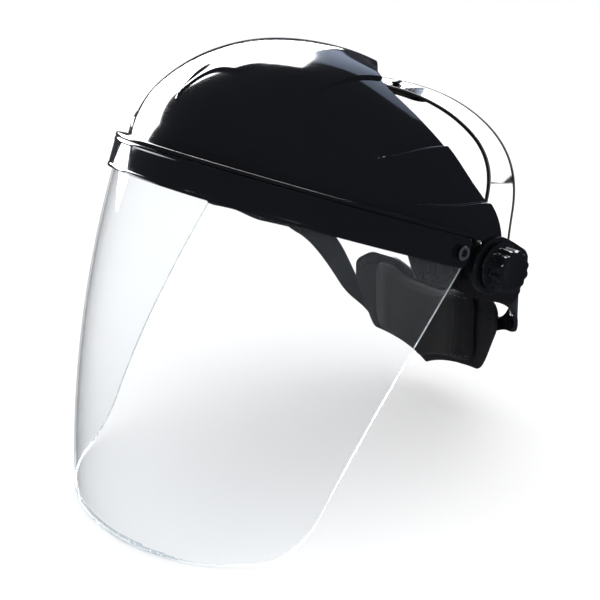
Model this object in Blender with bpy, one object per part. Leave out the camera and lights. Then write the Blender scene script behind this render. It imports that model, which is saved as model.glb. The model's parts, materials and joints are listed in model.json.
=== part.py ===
"""Industrial face shield: crown with clear window on a ratchet headgear.

Metres, +Z up. The wearer looks along -Y, and +X is the wearer's left. The pieces are drawn
around the midpoint of the axis that the crown tilts about, and the whole is then moved so
that the origin is the centre of the nape knob's flat face. "Rim frame" means the frame of
the crown, which is turned about X so that its front stands RIM_TILT higher than level.
"""
from math import asin, cos, exp, pi, radians, sin, sqrt

import bmesh
import bpy
from mathutils import Vector

# ---- driving dimensions (metres, degrees) -------------------------------------------------
GAP = 0.0003                    # running clearance between neighbouring pieces
RIM_TILT = radians(21.4)        # front of the crown is raised by this angle

RIM_HALF_WIDTH = 0.103          # outer half width of the crown at its rim
RIM_REACH = 0.144               # from the tilt axis forward to the front of the rim
RIM_POWER = 2.1                 # plan shape of the rim: 2 is an ellipse, more is squarer
RIM_TOP = 0.010                 # height of the rim plane over the tilt axis, in the rim frame
BAND_HEIGHT = 0.0150
BAND_THICKNESS = 0.0025
BAND_REAR = -0.020              # rear end of band and lip, in the rim frame
STUD_Y = BAND_REAR - 0.006      # studs that hold the rear ends of band and window
STUD_Z = RIM_TOP - BAND_HEIGHT / 2
STUD_HOLE = 0.0024
SHELL_THICKNESS = 0.0025

DOME_HALF_WIDTH = 0.1015        # the dome stands inside the rim on a ledge
DOME_HEIGHT = 0.071             # crown top over the rim plane
DOME_CENTRE = -0.048            # where the dome is highest
DOME_FRONT = 0.089              # from there forward to the foot of the dome
DOME_REAR = 0.125
DOME_POWER = 1.86
SPINE_HEIGHT = 0.0040
SPINE_HALF_WIDTH = 0.021
EAR_RADIUS = 0.0145

WINDOW_THICKNESS = 0.0010
WINDOW_DEPTH = 0.171            # below the band, at the front
WINDOW_SIDE_RISE = 0.043        # how much shallower the lower edge would be at the pivots
WINDOW_TAPER = 0.36             # forward sweep of the rear edges for each metre of depth
WINDOW_CURL = 1.17              # 1/m, the front draws back by this times depth squared
WINDOW_CORNER = 0.018
WINDOW_TOP = RIM_TOP - 0.002
WINDOW_HIDDEN = WINDOW_TOP - (RIM_TOP - BAND_HEIGHT)

LIP_OUTER = BAND_THICKNESS + GAP + WINDOW_THICKNESS + GAP
LIP_THICKNESS = 0.0022
LEDGE_WIDTH = 0.0098            # flange that the dome stands on, seen from above

HEAD_HALF_WIDTH = 0.0894        # outer face of the headband at the temples
HEAD_REACH = 0.100              # outer face of the headband at the forehead, rim frame
HEAD_THICKNESS = 0.0024
BROW_LOW = -0.0015              # lower and upper edge of the headband at the brow, rim frame
BROW_HIGH = 0.0215
STRAP_TOP = 0.0735              # crown strap's outer face over the tilt axis
STRAP_THICKNESS = 0.0018
STRAP_WIDTH = 0.0155
STRAP_Y = 0.0225                # middle of the strap where it crosses the head
STRAP_POWER = 2.4               # shape of the arch over the head

BOLT_RADIUS = 0.0030
BOLT_HOLE = 0.0033
PLATE_INNER_X = HEAD_HALF_WIDTH - HEAD_THICKNESS
STRAP_EYE_X = HEAD_HALF_WIDTH + GAP
SPACER_X = STRAP_EYE_X + STRAP_THICKNESS + GAP
EAR_INNER_X = DOME_HALF_WIDTH - SHELL_THICKNESS - 0.0002
EAR_OUTER_X = RIM_HALF_WIDTH + 0.0003
WASHER_X = EAR_OUTER_X + GAP
KNOB_INNER_X = WASHER_X + 0.0008 + GAP
KNOB_OUTER_X = 0.1155
KNOB_RADIUS = 0.0106
KNOB_BASE_RADIUS = 0.0122

NAPE_Z = -0.074                 # centre of the nape unit and of its ratchet knob
NAPE_Y = 0.057                  # head side of the nape plate
NAPE_HALF_HEIGHT = 0.0190
NAPE_HALF_WIDTH = 0.058
NAPE_THICKNESS = 0.0022
TRAY_HALF_WIDTH = 0.036
TRAY_DEPTH = 0.0080
COVER_Y = NAPE_Y + TRAY_DEPTH + GAP
COVER_THICKNESS = 0.0024
SCREW_X = 0.0300
RACK_Y = 0.0602
RACK_THICKNESS = 0.0020
PITCH_RADIUS = 0.0055
PINION_TEETH = 10
RACK_HEIGHT = 0.0090
RACK_INNER = 0.0066             # from the pinion's centre to the body of the rack
RACK_CENTRE = RACK_INNER + RACK_HEIGHT / 2
RACK_TIP = -0.020               # end of each rack, past the pinion
RACK_ROOT = 0.050               # where the rack becomes the bare strap
RATCHET_KNOB_RADIUS = 0.0190
RATCHET_KNOB_Y = COVER_Y + COVER_THICKNESS + 0.0005
RATCHET_KNOB_DEPTH = 0.0135
REAR_STRAP_POWER = 2.35         # squareness of the bend from the nape to the temples
PIVOT = Vector((0, -RATCHET_KNOB_Y - RATCHET_KNOB_DEPTH, -NAPE_Z))   # tilt axis from the origin

SIDES = (("left", 1), ("right", -1))


# ---- scene, materials and small helpers ---------------------------------------------------
def clear_scene():
    for item in list(bpy.data.objects):
        bpy.data.objects.remove(item, do_unlink=True)


def material(name, colour, roughness, metallic=0.0, alpha=1.0):
    mat = bpy.data.materials.new(name)
    mat.use_nodes = True
    shader = mat.node_tree.nodes["Principled BSDF"]
    shader.inputs["Base Color"].default_value = (*colour, 1.0)
    shader.inputs["Roughness"].default_value = roughness
    shader.inputs["Metallic"].default_value = metallic
    shader.inputs["Alpha"].default_value = alpha
    return mat


def add_object(name, bm, mat=None, parent=None):
    bmesh.ops.recalc_face_normals(bm, faces=bm.faces)
    mesh = bpy.data.meshes.new(name)
    bm.to_mesh(mesh)
    bm.free()
    mesh.shade_smooth()
    mesh.set_sharp_from_angle(angle=radians(35))
    item = bpy.data.objects.new(name, mesh)
    bpy.context.collection.objects.link(item)
    if mat:
        mesh.materials.append(mat)
    if parent:
        item.parent = parent
    return item


def frame_empty(name, rotation):
    empty = bpy.data.objects.new(name, None)
    empty.rotation_euler = rotation
    bpy.context.collection.objects.link(empty)
    return empty


def boolean(target, tool, operation):
    tool.hide_render = True
    tool.display_type = "WIRE"
    mod = target.modifiers.new(tool.name, "BOOLEAN")
    mod.operation = operation
    mod.solver = "EXACT"
    mod.object = tool
    return target


def bevel(item, width, segments=2, angle=40):
    mod = item.modifiers.new("edge_round", "BEVEL")
    mod.width = width
    mod.segments = segments
    mod.limit_method = "ANGLE"
    mod.angle_limit = radians(angle)
    return item


def loft(name, rings, mat=None, parent=None):
    """A closed solid through rings of points that all have the same count."""
    bm = bmesh.new()
    made = [[bm.verts.new(point) for point in ring] for ring in rings]
    count = len(made[0])
    for first, second in zip(made, made[1:]):
        for k in range(count):
            after = (k + 1) % count
            bm.faces.new((first[k], first[after], second[after], second[k]))
    bm.faces.new(made[0])
    bm.faces.new(reversed(made[-1]))
    return add_object(name, bm, mat, parent)


def sheet_solid(name, outer, inner, mat=None, parent=None):
    """A closed solid between two grids of points with the same rows and columns."""
    bm = bmesh.new()
    top = [[bm.verts.new(point) for point in row] for row in outer]
    low = [[bm.verts.new(point) for point in row] for row in inner]
    rows, columns = len(top), len(top[0])
    for j in range(rows - 1):
        for i in range(columns - 1):
            bm.faces.new((top[j][i], top[j][i + 1], top[j + 1][i + 1], top[j + 1][i]))
            bm.faces.new((low[j][i], low[j + 1][i], low[j + 1][i + 1], low[j][i + 1]))
    for j in range(rows - 1):
        for i in (0, columns - 1):
            bm.faces.new((top[j][i], top[j + 1][i], low[j + 1][i], low[j][i]))
    for i in range(columns - 1):
        for j in (0, rows - 1):
            bm.faces.new((top[j][i], low[j][i], low[j][i + 1], top[j][i + 1]))
    return add_object(name, bm, mat, parent)


def prism(name, outline, start, end, place, mat=None, parent=None):
    """An outline in a plane, extruded from start to end; place maps (u, v, w) to a point."""
    bm = bmesh.new()
    ring = [bm.verts.new(place(u, v, start)) for u, v in outline]
    face = bm.faces.new(ring)
    grown = bmesh.ops.extrude_face_region(bm, geom=[face])
    shift = Vector(place(0, 0, end)) - Vector(place(0, 0, start))
    moved = [v for v in grown["geom"] if isinstance(v, bmesh.types.BMVert)]
    bmesh.ops.translate(bm, vec=shift, verts=moved)
    return add_object(name, bm, mat, parent)


def along_x(y=0.0, z=0.0):
    return lambda u, v, w: (w, y + u, z + v)


def along_y(x=0.0, z=0.0):
    return lambda u, v, w: (x + u, w, z + v)


def circle(radius, count=28):
    return [(radius * cos(2 * pi * k / count), radius * sin(2 * pi * k / count)) for k in range(count)]


def lobes(radius, depth, number, per_lobe=6):
    """A round outline with shallow finger grips."""
    count = number * per_lobe
    out = []
    for k in range(count):
        angle = 2 * pi * k / count
        reach = radius - depth * abs(sin(number * angle / 2)) ** 3
        out.append((reach * cos(angle), reach * sin(angle)))
    return out


def turned(name, profile, place, mat=None, parent=None, count=24):
    """A solid of revolution from (radius, height) stations, closed at both ends."""
    rings = []
    for radius, height in profile:
        rings.append([place(u, v, height) for u, v in circle(radius, count)])
    return loft(name, rings, mat, parent)


def hole(target, radius, start, end, place, parent=None, count=24):
    cutter = prism(target.name + "_hole", circle(radius, count), start, end, place, parent=parent)
    return boolean(target, cutter, "DIFFERENCE")


# ---- curves that the pieces follow --------------------------------------------------------
def signed_power(value, power):
    return (abs(value) ** power) * (1 if value >= 0 else -1)


def rim_point(angle, offset=0.0):
    """Point of the rim's plan curve; angle 0 is the left pivot and 90 degrees the front."""
    def curve(a):
        return Vector((RIM_HALF_WIDTH * signed_power(cos(a), 2 / RIM_POWER),
                       -RIM_REACH * abs(sin(a)) ** (2 / RIM_POWER), 0))
    step = 0.004
    along = curve(min(angle + step, pi)) - curve(max(angle - step, 0.0))
    outward = Vector((-along.y, along.x, 0)).normalized()
    return curve(angle) + outward * offset


def rim_angle(y):
    """The angle at which the rim's plan curve passes y, on the left side."""
    return asin((-y / RIM_REACH) ** (RIM_POWER / 2))


def spread(start, end, count):
    return [start + (end - start) * k / (count - 1) for k in range(count)]


def dome_radius(fan):
    """Distance from the pivots' line to the dome's middle profile at a fan angle."""
    low, high = 0.02, 0.25
    for _ in range(50):
        mid = (low + high) / 2
        y, z = -mid * cos(fan) - DOME_CENTRE, mid * sin(fan)
        reach = DOME_FRONT if y < 0 else DOME_REAR
        inside = abs(y / reach) ** DOME_POWER + (z / DOME_HEIGHT) ** DOME_POWER < 1
        low, high = (mid, high) if inside else (low, mid)
    return low


def smooth_step(value, start, end):
    t = min(1.0, max(0.0, (value - start) / (end - start)))
    return t * t * (3 - 2 * t)


def rear_edge_fan(arch):
    """Fan angle of the crown's rear edge: a tongue over the middle, a notch, and the ears."""
    degrees_in = min(arch, pi - arch) * 180 / pi
    tongue = 28 * exp(-((90 - degrees_in) / 19) ** 2)
    ear = 90 * exp(-degrees_in / 6)
    return radians(44 + tongue + ear)


def dome_point(arch, fan, inset=0.0):
    """Crown surface; arch runs from the left pivot (0) over to the right, fan from the rim up."""
    half_width = DOME_HALF_WIDTH - inset
    across = signed_power(cos(arch), 2 / RIM_POWER)
    up = abs(sin(arch)) ** (2 / RIM_POWER)
    radius = dome_radius(fan) - inset
    x = half_width * across
    spine = 1 - smooth_step(abs(x), SPINE_HALF_WIDTH - 0.004, SPINE_HALF_WIDTH)
    radius += SPINE_HEIGHT * spine * smooth_step(fan, 0.0, 0.25)
    return Vector((x, -radius * up * cos(fan), RIM_TOP + radius * up * sin(fan)))


# ---- crown --------------------------------------------------------------------------------
def make_crown_shell(mat, rim_frame):
    arches = spread(radians(2.2), pi - radians(2.2), 45)
    rows = spread(0.0, 1.0, 11)

    def grid(inset):
        return [[dome_point(a, t * rear_edge_fan(a), inset) for a in arches] for t in rows]

    shell = sheet_solid("crown_shell", grid(0.0), grid(SHELL_THICKNESS), mat, rim_frame)
    boolean(shell, make_lip(rim_frame), "UNION")
    for side, sign in SIDES:
        ear = prism(side + "_ear", circle(EAR_RADIUS, 40), sign * EAR_INNER_X, sign * EAR_OUTER_X,
                    along_x(), parent=rim_frame)
        boolean(shell, ear, "UNION")
        bore = prism(side + "_ear_bore", circle(BOLT_HOLE, 24), sign * 0.095, sign * 0.110,
                     along_x(), parent=rim_frame)
        boolean(shell, bore, "DIFFERENCE")
    return stud_holes(shell, rim_frame)


def make_lip(rim_frame):
    """Flange under the dome with the wall that the window wraps around."""
    low, high = RIM_TOP - BAND_HEIGHT, RIM_TOP + LIP_THICKNESS
    step = RIM_TOP + GAP
    inner = -LIP_OUTER - LIP_THICKNESS
    section = ((0, step), (0, high), (-LEDGE_WIDTH, high), (-LEDGE_WIDTH, step), (inner, step),
               (inner, low), (-LIP_OUTER, low), (-LIP_OUTER, step))
    start = rim_angle(BAND_REAR)
    rings = []
    for angle in spread(start, pi - start, 33):
        rings.append([rim_point(angle, offset) + Vector((0, 0, z)) for offset, z in section])
    return loft("crown_lip", rings, parent=rim_frame)


def make_window_band(mat, rim_frame):
    low, high = RIM_TOP - BAND_HEIGHT, RIM_TOP
    edge = 0.0006
    section = ((-BAND_THICKNESS, low), (-edge, low), (0, low + edge), (0, high - edge),
               (-edge, high), (-BAND_THICKNESS, high))
    start = rim_angle(BAND_REAR)
    rings = []
    for angle in spread(start, pi - start, 45):
        rings.append([rim_point(angle, offset) + Vector((0, 0, z)) for offset, z in section])
    band = loft("window_band", rings, mat, rim_frame)
    return stud_holes(band, rim_frame)


def stud_holes(target, rim_frame):
    for side, sign in SIDES:
        cutter = prism(target.name + "_" + side + "_stud_hole", circle(STUD_HOLE, 20), sign * 0.090,
                       sign * 0.110, along_x(STUD_Y, STUD_Z), parent=rim_frame)
        boolean(target, cutter, "DIFFERENCE")
    return target


def window_depth(angle):
    """Depth of the window's lower edge under the band at an angle round the rim."""
    return WINDOW_DEPTH - WINDOW_SIDE_RISE * (1 - abs(sin(angle)) ** (2 / RIM_POWER))


def window_point(angle, share, offset):
    """Window surface at an angle round the rim and a share (0 to 1) of its height."""
    drop = share * (WINDOW_HIDDEN + window_depth(angle))
    below = max(0.0, drop - WINDOW_HIDDEN)
    point = rim_point(angle, offset)
    point.y += WINDOW_CURL * below * below * abs(sin(angle)) ** (2 / RIM_POWER)
    return point + Vector((0, 0, WINDOW_TOP - drop))


def window_limit(share):
    """Rim angle of the window's rear edge at a share of its height."""
    angle = rim_angle(BAND_REAR)
    for _ in range(12):
        whole = window_depth(angle)
        depth = max(0.0, share * (WINDOW_HIDDEN + whole) - WINDOW_HIDDEN)
        y = BAND_REAR - WINDOW_TAPER * depth
        into_corner = min(WINDOW_CORNER, depth - (whole - WINDOW_CORNER))
        if into_corner > 0:
            y -= WINDOW_CORNER - sqrt(WINDOW_CORNER ** 2 - into_corner ** 2)
        angle = rim_angle(y)
    return angle


def make_window(mat, rim_frame):
    straight = 1 - WINDOW_CORNER / WINDOW_DEPTH
    shares = spread(0.0, straight, 10)
    shares += [1 - (1 - straight) * (1 - sin(radians(turn))) for turn in (30, 60, 90)]
    grids = []
    for offset in (-BAND_THICKNESS - GAP, -BAND_THICKNESS - GAP - WINDOW_THICKNESS):
        rows = []
        for share in shares:
            start = window_limit(share)
            rows.append([window_point(a, share, offset) for a in spread(start, pi - start, 37)])
        grids.append(rows)
    window = sheet_solid("window", *grids, mat, rim_frame)
    return stud_holes(window, rim_frame)


def make_band_studs(mat, rim_frame):
    """Snap studs that pin the rear ends of band and window to the lip."""
    edge = RIM_HALF_WIDTH - 0.0004
    for side, sign in SIDES:
        profile = ((0.0019, edge - LIP_OUTER - LIP_THICKNESS - 0.0025), (0.0019, edge + 0.0008),
                   (0.0036, edge + 0.0008), (0.0034, edge + 0.0016), (0.0022, edge + 0.0021))
        place = along_x(STUD_Y, STUD_Z)
        turned(side + "_band_stud", [(r, sign * h) for r, h in profile], place, mat, rim_frame, 20)


# ---- headgear -----------------------------------------------------------------------------
def head_path(y_end, count):
    """Outer plan curve of the headband from the left end round the forehead to the right."""
    centre = -0.012
    straight = spread(y_end, centre, 7)[:-1]
    left = [(Vector((HEAD_HALF_WIDTH, y, 0)), Vector((1, 0, 0))) for y in straight]
    front = []
    for angle in spread(0.0, pi, count):
        reach = HEAD_REACH + centre
        point = Vector((HEAD_HALF_WIDTH * cos(angle), centre - reach * sin(angle), 0))
        outward = Vector((reach * cos(angle), -HEAD_HALF_WIDTH * sin(angle), 0)).normalized()
        front.append((point, outward))
    right = [(Vector((-p.x, p.y, 0)), Vector((-1, 0, 0))) for p, _ in reversed(left)]
    return left + front + right


def headband_edges(y):
    """Lower and upper edge of the headband along its length, in the rim frame."""
    lower = BROW_LOW - 0.0145 * smooth_step(y, -0.046, -0.032) - 0.0030 * smooth_step(y, -0.015, 0.010)
    upper = BROW_HIGH - 0.0075 * smooth_step(y, -0.045, 0.006) - 0.0040 * smooth_step(y, 0.016, 0.044)
    return lower, upper


def make_headband(mat, rim_frame):
    edge = 0.0006
    rings = []
    for point, outward in head_path(0.042, 33):
        lower, upper = headband_edges(point.y)
        inner, outer = -HEAD_THICKNESS, 0.0
        section = ((inner, lower + edge), (inner + edge, lower), (outer - edge, lower),
                   (outer, lower + edge), (outer, upper - edge), (outer - edge, upper),
                   (inner + edge, upper), (inner, upper - edge))
        rings.append([point + outward * o + Vector((0, 0, z)) for o, z in section])
    band = loft("headband", rings, mat, rim_frame)
    for side, sign in SIDES:
        cutter = prism(side + "_plate_hole", circle(BOLT_HOLE, 24), sign * 0.080, sign * 0.095,
                       along_x(), parent=rim_frame)
        boolean(band, cutter, "DIFFERENCE")
    return band


def make_brow_pad(mat, rim_frame):
    """Sweatband on the forehead side of the headband, a plain cushion."""
    rings = []
    for point, outward in head_path(0.0, 33)[6:-6]:
        if point.y > -0.040:
            continue
        thick = 0.0025 + 0.0035 * smooth_step(-point.y, 0.038, 0.055)
        middle, half = (BROW_LOW + BROW_HIGH) / 2, (BROW_HIGH - BROW_LOW) / 2 + 0.0015
        inner, outer = -HEAD_THICKNESS - GAP - thick, -HEAD_THICKNESS - GAP
        section = ((inner, middle - half * 0.7), (inner + thick / 2, middle - half),
                   (outer, middle - half), (outer, middle + half),
                   (inner + thick / 2, middle + half), (inner, middle + half * 0.7))
        rings.append([point + outward * o + Vector((0, 0, z)) for o, z in section])
    return loft("brow_pad", rings, mat, rim_frame)


def strap_arch(share):
    """Outer face of the crown strap: point and outward direction, from pivot (0) to top (1)."""
    foot, shoulder = -0.010, 0.018
    x0 = STRAP_EYE_X + STRAP_THICKNESS
    if share < 0.22:
        return Vector((x0, 0, foot + (shoulder - foot) * share / 0.22)), Vector((1, 0, 0))
    angle = (share - 0.22) / 0.78 * pi / 2
    rise = STRAP_TOP - shoulder
    across, up = cos(angle) ** (2 / STRAP_POWER), sin(angle) ** (2 / STRAP_POWER)
    point = Vector((x0 * across, 0, shoulder + rise * up))
    slope = Vector((across ** (STRAP_POWER - 1) / x0, 0, up ** (STRAP_POWER - 1) / rise))
    return point, slope.normalized()


def strap_rings(share_end, lift, sign):
    rings = []
    for share in spread(0.0, share_end, 22):
        point, outward = strap_arch(min(share, 2.0 - share))
        if share > 1.0:
            point.x, outward.x = -point.x, -outward.x
        point = point + outward * lift * smooth_step(share, 0.60, 0.80)
        flare = 1 - smooth_step(point.z, -0.006, 0.058)
        half = STRAP_WIDTH / 2 + 0.0070 * flare
        middle = STRAP_Y - 0.0150 * flare
        ring = []
        for depth, y in ((0, middle - half), (0, middle + half), (-STRAP_THICKNESS, middle + half),
                         (-STRAP_THICKNESS, middle - half)):
            spot = point + outward * depth
            ring.append((sign * spot.x, y, spot.z))
        rings.append(ring)
    return rings


def make_crown_straps(mat):
    """Two halves that go over the head and overlap on top."""
    lifts = {"left": 0.0, "right": -STRAP_THICKNESS - GAP}
    for side, sign in SIDES:
        strap = loft(side + "_crown_strap", strap_rings(1.16, lifts[side], sign), mat)
        bolt = prism(side + "_strap_eye", circle(BOLT_HOLE, 24), sign * 0.080, sign * 0.100, along_x())
        boolean(strap, bolt, "DIFFERENCE")
        for number, x in enumerate((-0.008, 0.008)):
            name = "%s_peg_hole_%d" % (side, number)
            cutter = turned(name, ((0.0023, 0.060), (0.0023, 0.085)), peg_place(x), count=16)
            boolean(strap, cutter, "DIFFERENCE")


def peg_place(x):
    return lambda u, v, w: (x + u, STRAP_Y + v, w)


def make_strap_pegs(mat):
    """Pegs that hold the two halves of the crown strap at the chosen length."""
    sag = 0.0007                # the arch falls away by this much under the peg's flange
    seat = STRAP_TOP - 2 * STRAP_THICKNESS - GAP - sag
    profile = ((0.0034, seat - 0.0012), (0.0034, seat), (0.0020, seat), (0.0020, STRAP_TOP + GAP),
               (0.0032, STRAP_TOP + GAP), (0.0028, STRAP_TOP + 0.0013))
    for side, x in (("left", 0.008), ("right", -0.008)):
        turned(side + "_strap_peg", profile, peg_place(x), mat, count=16)


def make_pivot_hardware(steel, plastic, brass, knob_mat, rim_frame):
    for side, sign in SIDES:
        def at(profile):
            return [(r, sign * x) for r, x in profile]
        head = PLATE_INNER_X - GAP
        turned(side + "_pivot_bolt", at(((0.0060, head - 0.0018), (0.0070, head - 0.0010),
                                         (0.0070, head), (BOLT_RADIUS, head),
                                         (BOLT_RADIUS, KNOB_OUTER_X - 0.0040))),
               along_x(), steel, rim_frame)
        spacer_end = EAR_INNER_X - GAP
        spacer = turned(side + "_pivot_spacer", at(((0.0100, SPACER_X), (0.0110, SPACER_X + 0.001),
                                                    (0.0110, spacer_end))),
                        along_x(), plastic, rim_frame)
        hole(spacer, BOLT_HOLE, sign * 0.085, sign * 0.105, along_x(), rim_frame)
        washer = turned(side + "_spring_washer", at(((0.0085, WASHER_X), (0.0085, WASHER_X + 0.0008))),
                        along_x(), steel, rim_frame)
        hole(washer, BOLT_HOLE, sign * 0.100, sign * 0.108, along_x(), rim_frame)
        make_tension_knob(side, sign, knob_mat, rim_frame)
        start = KNOB_INNER_X + 0.0006
        nut = prism(side + "_knob_nut", circle(0.0046, 12), sign * start, sign * (start + 0.0060),
                    along_x(), brass, rim_frame)
        hole(nut, BOLT_HOLE, sign * 0.100, sign * 0.115, along_x(), rim_frame)


def make_tension_knob(side, sign, mat, rim_frame):
    """Grip that clamps the crown's ear; its outer face is flat."""
    face = KNOB_OUTER_X
    stations = ((KNOB_BASE_RADIUS, 0.0, KNOB_INNER_X), (KNOB_BASE_RADIUS, 0.0, KNOB_INNER_X + 0.0016),
                (KNOB_RADIUS + 0.0006, 0.0012, KNOB_INNER_X + 0.0022),
                (KNOB_RADIUS, 0.0012, face - 0.0010), (KNOB_RADIUS - 0.0008, 0.0010, face))
    rings = []
    for radius, depth, x in stations:
        rings.append([(sign * x, u, v) for u, v in lobes(radius, depth, 12, 4)])
    knob = loft(side + "_tension_knob", rings, mat, rim_frame)
    cutter = prism(side + "_nut_pocket", circle(0.0050, 24), sign * (KNOB_INNER_X - 0.002),
                   sign * (face - 0.0034), along_x(), parent=rim_frame)
    return boolean(knob, cutter, "DIFFERENCE")


# ---- nape ratchet -------------------------------------------------------------------------
def nape_edges(x):
    """Lower and upper edge of the nape plate."""
    out = abs(x)
    low = NAPE_Z - 0.0155 - 0.0115 * exp(-out / 0.020) + 0.0290 * smooth_step(out, 0.042, 0.061)
    high = NAPE_Z + 0.0275 + 0.0045 * smooth_step(out, 0.010, 0.030)
    high -= 0.0080 * smooth_step(out, 0.044, 0.062)
    return low, high


def nape_curve(x):
    """Head side of the nape plate in plan."""
    return 0.020 + (NAPE_Y - 0.020) * (1 - (abs(x) / 0.088) ** 2.8) ** (1 / 2.8)


def make_nape_housing(mat):
    """Nape plate with the open tray that holds the ratchet."""
    thick = NAPE_THICKNESS
    rings = []
    for x in spread(-NAPE_HALF_WIDTH, NAPE_HALF_WIDTH, 25):
        low, high = nape_edges(x)
        y = nape_curve(x)
        rings.append([(x, y, low), (x, y + thick, low), (x, y + thick, high), (x, y, high)])
    housing = loft("nape_housing", rings, mat)
    half_x, half_z = TRAY_HALF_WIDTH, NAPE_HALF_HEIGHT
    rim_y = NAPE_Y + TRAY_DEPTH
    tray = prism("tray", rounded_box(half_x, half_z, 0.008), NAPE_Y + 0.0006, rim_y, along_y(0, NAPE_Z))
    boolean(housing, tray, "UNION")
    pocket = prism("tray_pocket", rounded_box(half_x - 0.002, half_z - 0.002, 0.006),
                   NAPE_Y + 0.0024, rim_y + 0.002, along_y(0, NAPE_Z))
    boolean(housing, pocket, "DIFFERENCE")
    for side, sign in SIDES:
        place = along_y(sign * SCREW_X, NAPE_Z)
        post = prism(side + "_post", circle(0.0033, 20), NAPE_Y + 0.0010, rim_y - 0.0002, place)
        boolean(housing, post, "UNION")
        bore = prism(side + "_post_bore", circle(0.0014, 16), NAPE_Y + 0.0030, rim_y + 0.001, place)
        boolean(housing, bore, "DIFFERENCE")
        outline = [(sign * 0.049 + 0.021 * u, sign * RACK_CENTRE + 0.0053 * v)
                   for u, v in ((-1, -1), (1, -1), (1, 1), (-1, 1))]
        slot = prism(side + "_rack_slot", outline, RACK_Y - 0.0005, RACK_Y + RACK_THICKNESS + 0.0005,
                     along_y(0, NAPE_Z))
        boolean(housing, slot, "DIFFERENCE")
    return housing


def rounded_box(half_x, half_z, radius, steps=5):
    points = []
    for corner, (sx, sz) in enumerate(((1, 1), (-1, 1), (-1, -1), (1, -1))):
        for k in range(steps + 1):
            angle = pi / 2 * (corner + k / steps)
            points.append((sx * (half_x - radius) + radius * cos(angle),
                           sz * (half_z - radius) + radius * sin(angle)))
    return points


def make_nape_cover(mat):
    cover = prism("nape_cover", rounded_box(TRAY_HALF_WIDTH, NAPE_HALF_HEIGHT, 0.008), COVER_Y,
                  COVER_Y + COVER_THICKNESS, along_y(0, NAPE_Z), mat)
    bevel(cover, 0.0008)
    hole(cover, 0.0080, 0.050, 0.080, along_y(0, NAPE_Z), count=28)
    for side, sign in SIDES:
        cutter = prism(side + "_cover_screw_hole", circle(0.0018, 16), 0.060, 0.075,
                       along_y(sign * SCREW_X, NAPE_Z))
        boolean(cover, cutter, "DIFFERENCE")
    return cover


def make_nape_screws(mat):
    seat = COVER_Y + COVER_THICKNESS + GAP
    profile = ((0.0011, seat - 0.0065), (0.0011, seat), (0.0030, seat), (0.0027, seat + 0.0012),
               (0.0014, seat + 0.0017))
    for side, sign in SIDES:
        turned(side + "_nape_screw", profile, along_y(sign * SCREW_X, NAPE_Z), mat, count=16)


def rack_outline(sign):
    """Rack in its own plane: a toothed inner edge and a plain outer edge, for one side."""
    pitch = 2 * pi * PITCH_RADIUS / PINION_TEETH
    steps = int((0.030 - RACK_TIP) / pitch * 4)
    points = []
    for k in range(steps + 1):
        x = RACK_TIP + pitch * k / 4
        points.append((x, PITCH_RADIUS + 0.0012 + 0.0006 * cos(2 * pi * x / pitch)))
    points += [(RACK_ROOT, RACK_INNER + 0.0006), (RACK_ROOT, RACK_INNER + RACK_HEIGHT),
               (RACK_TIP, RACK_INNER + RACK_HEIGHT)]
    return [(sign * x, sign * z) for x, z in points]


def make_rear_straps(mat):
    """Straps from the temples to the nape; each one ends in a rack inside the tray."""
    for side, sign in SIDES:
        rings = []
        for t in spread(0.0, 1.0, 15):
            angle = pi / 2 * t
            x = 0.0460 + 0.0400 * sin(angle) ** (2 / REAR_STRAP_POWER)
            y = RACK_Y + RACK_THICKNESS - 0.0460 * (1 - cos(angle) ** (2 / REAR_STRAP_POWER))
            outward = Vector((sign * max(sin(angle), 0.0), cos(angle), 0)).normalized()
            start_z = NAPE_Z + sign * RACK_CENTRE
            z = start_z + (-0.0160 - start_z) * (0.25 * t + 0.75 * smooth_step(t, 0.0, 1.0))
            half = RACK_HEIGHT / 2 - 0.0004 + 0.0090 * smooth_step(t, 0.12, 0.45)
            point = Vector((sign * x, y, z))
            inner = point - outward * RACK_THICKNESS
            rings.append([point + Vector((0, 0, -half)), point + Vector((0, 0, half)),
                          inner + Vector((0, 0, half)), inner + Vector((0, 0, -half))])
        strap = loft(side + "_rear_strap", rings, mat)
        rack = prism(side + "_rack", rack_outline(sign), RACK_Y, RACK_Y + RACK_THICKNESS,
                     along_y(0, NAPE_Z))
        boolean(strap, rack, "UNION")


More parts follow.
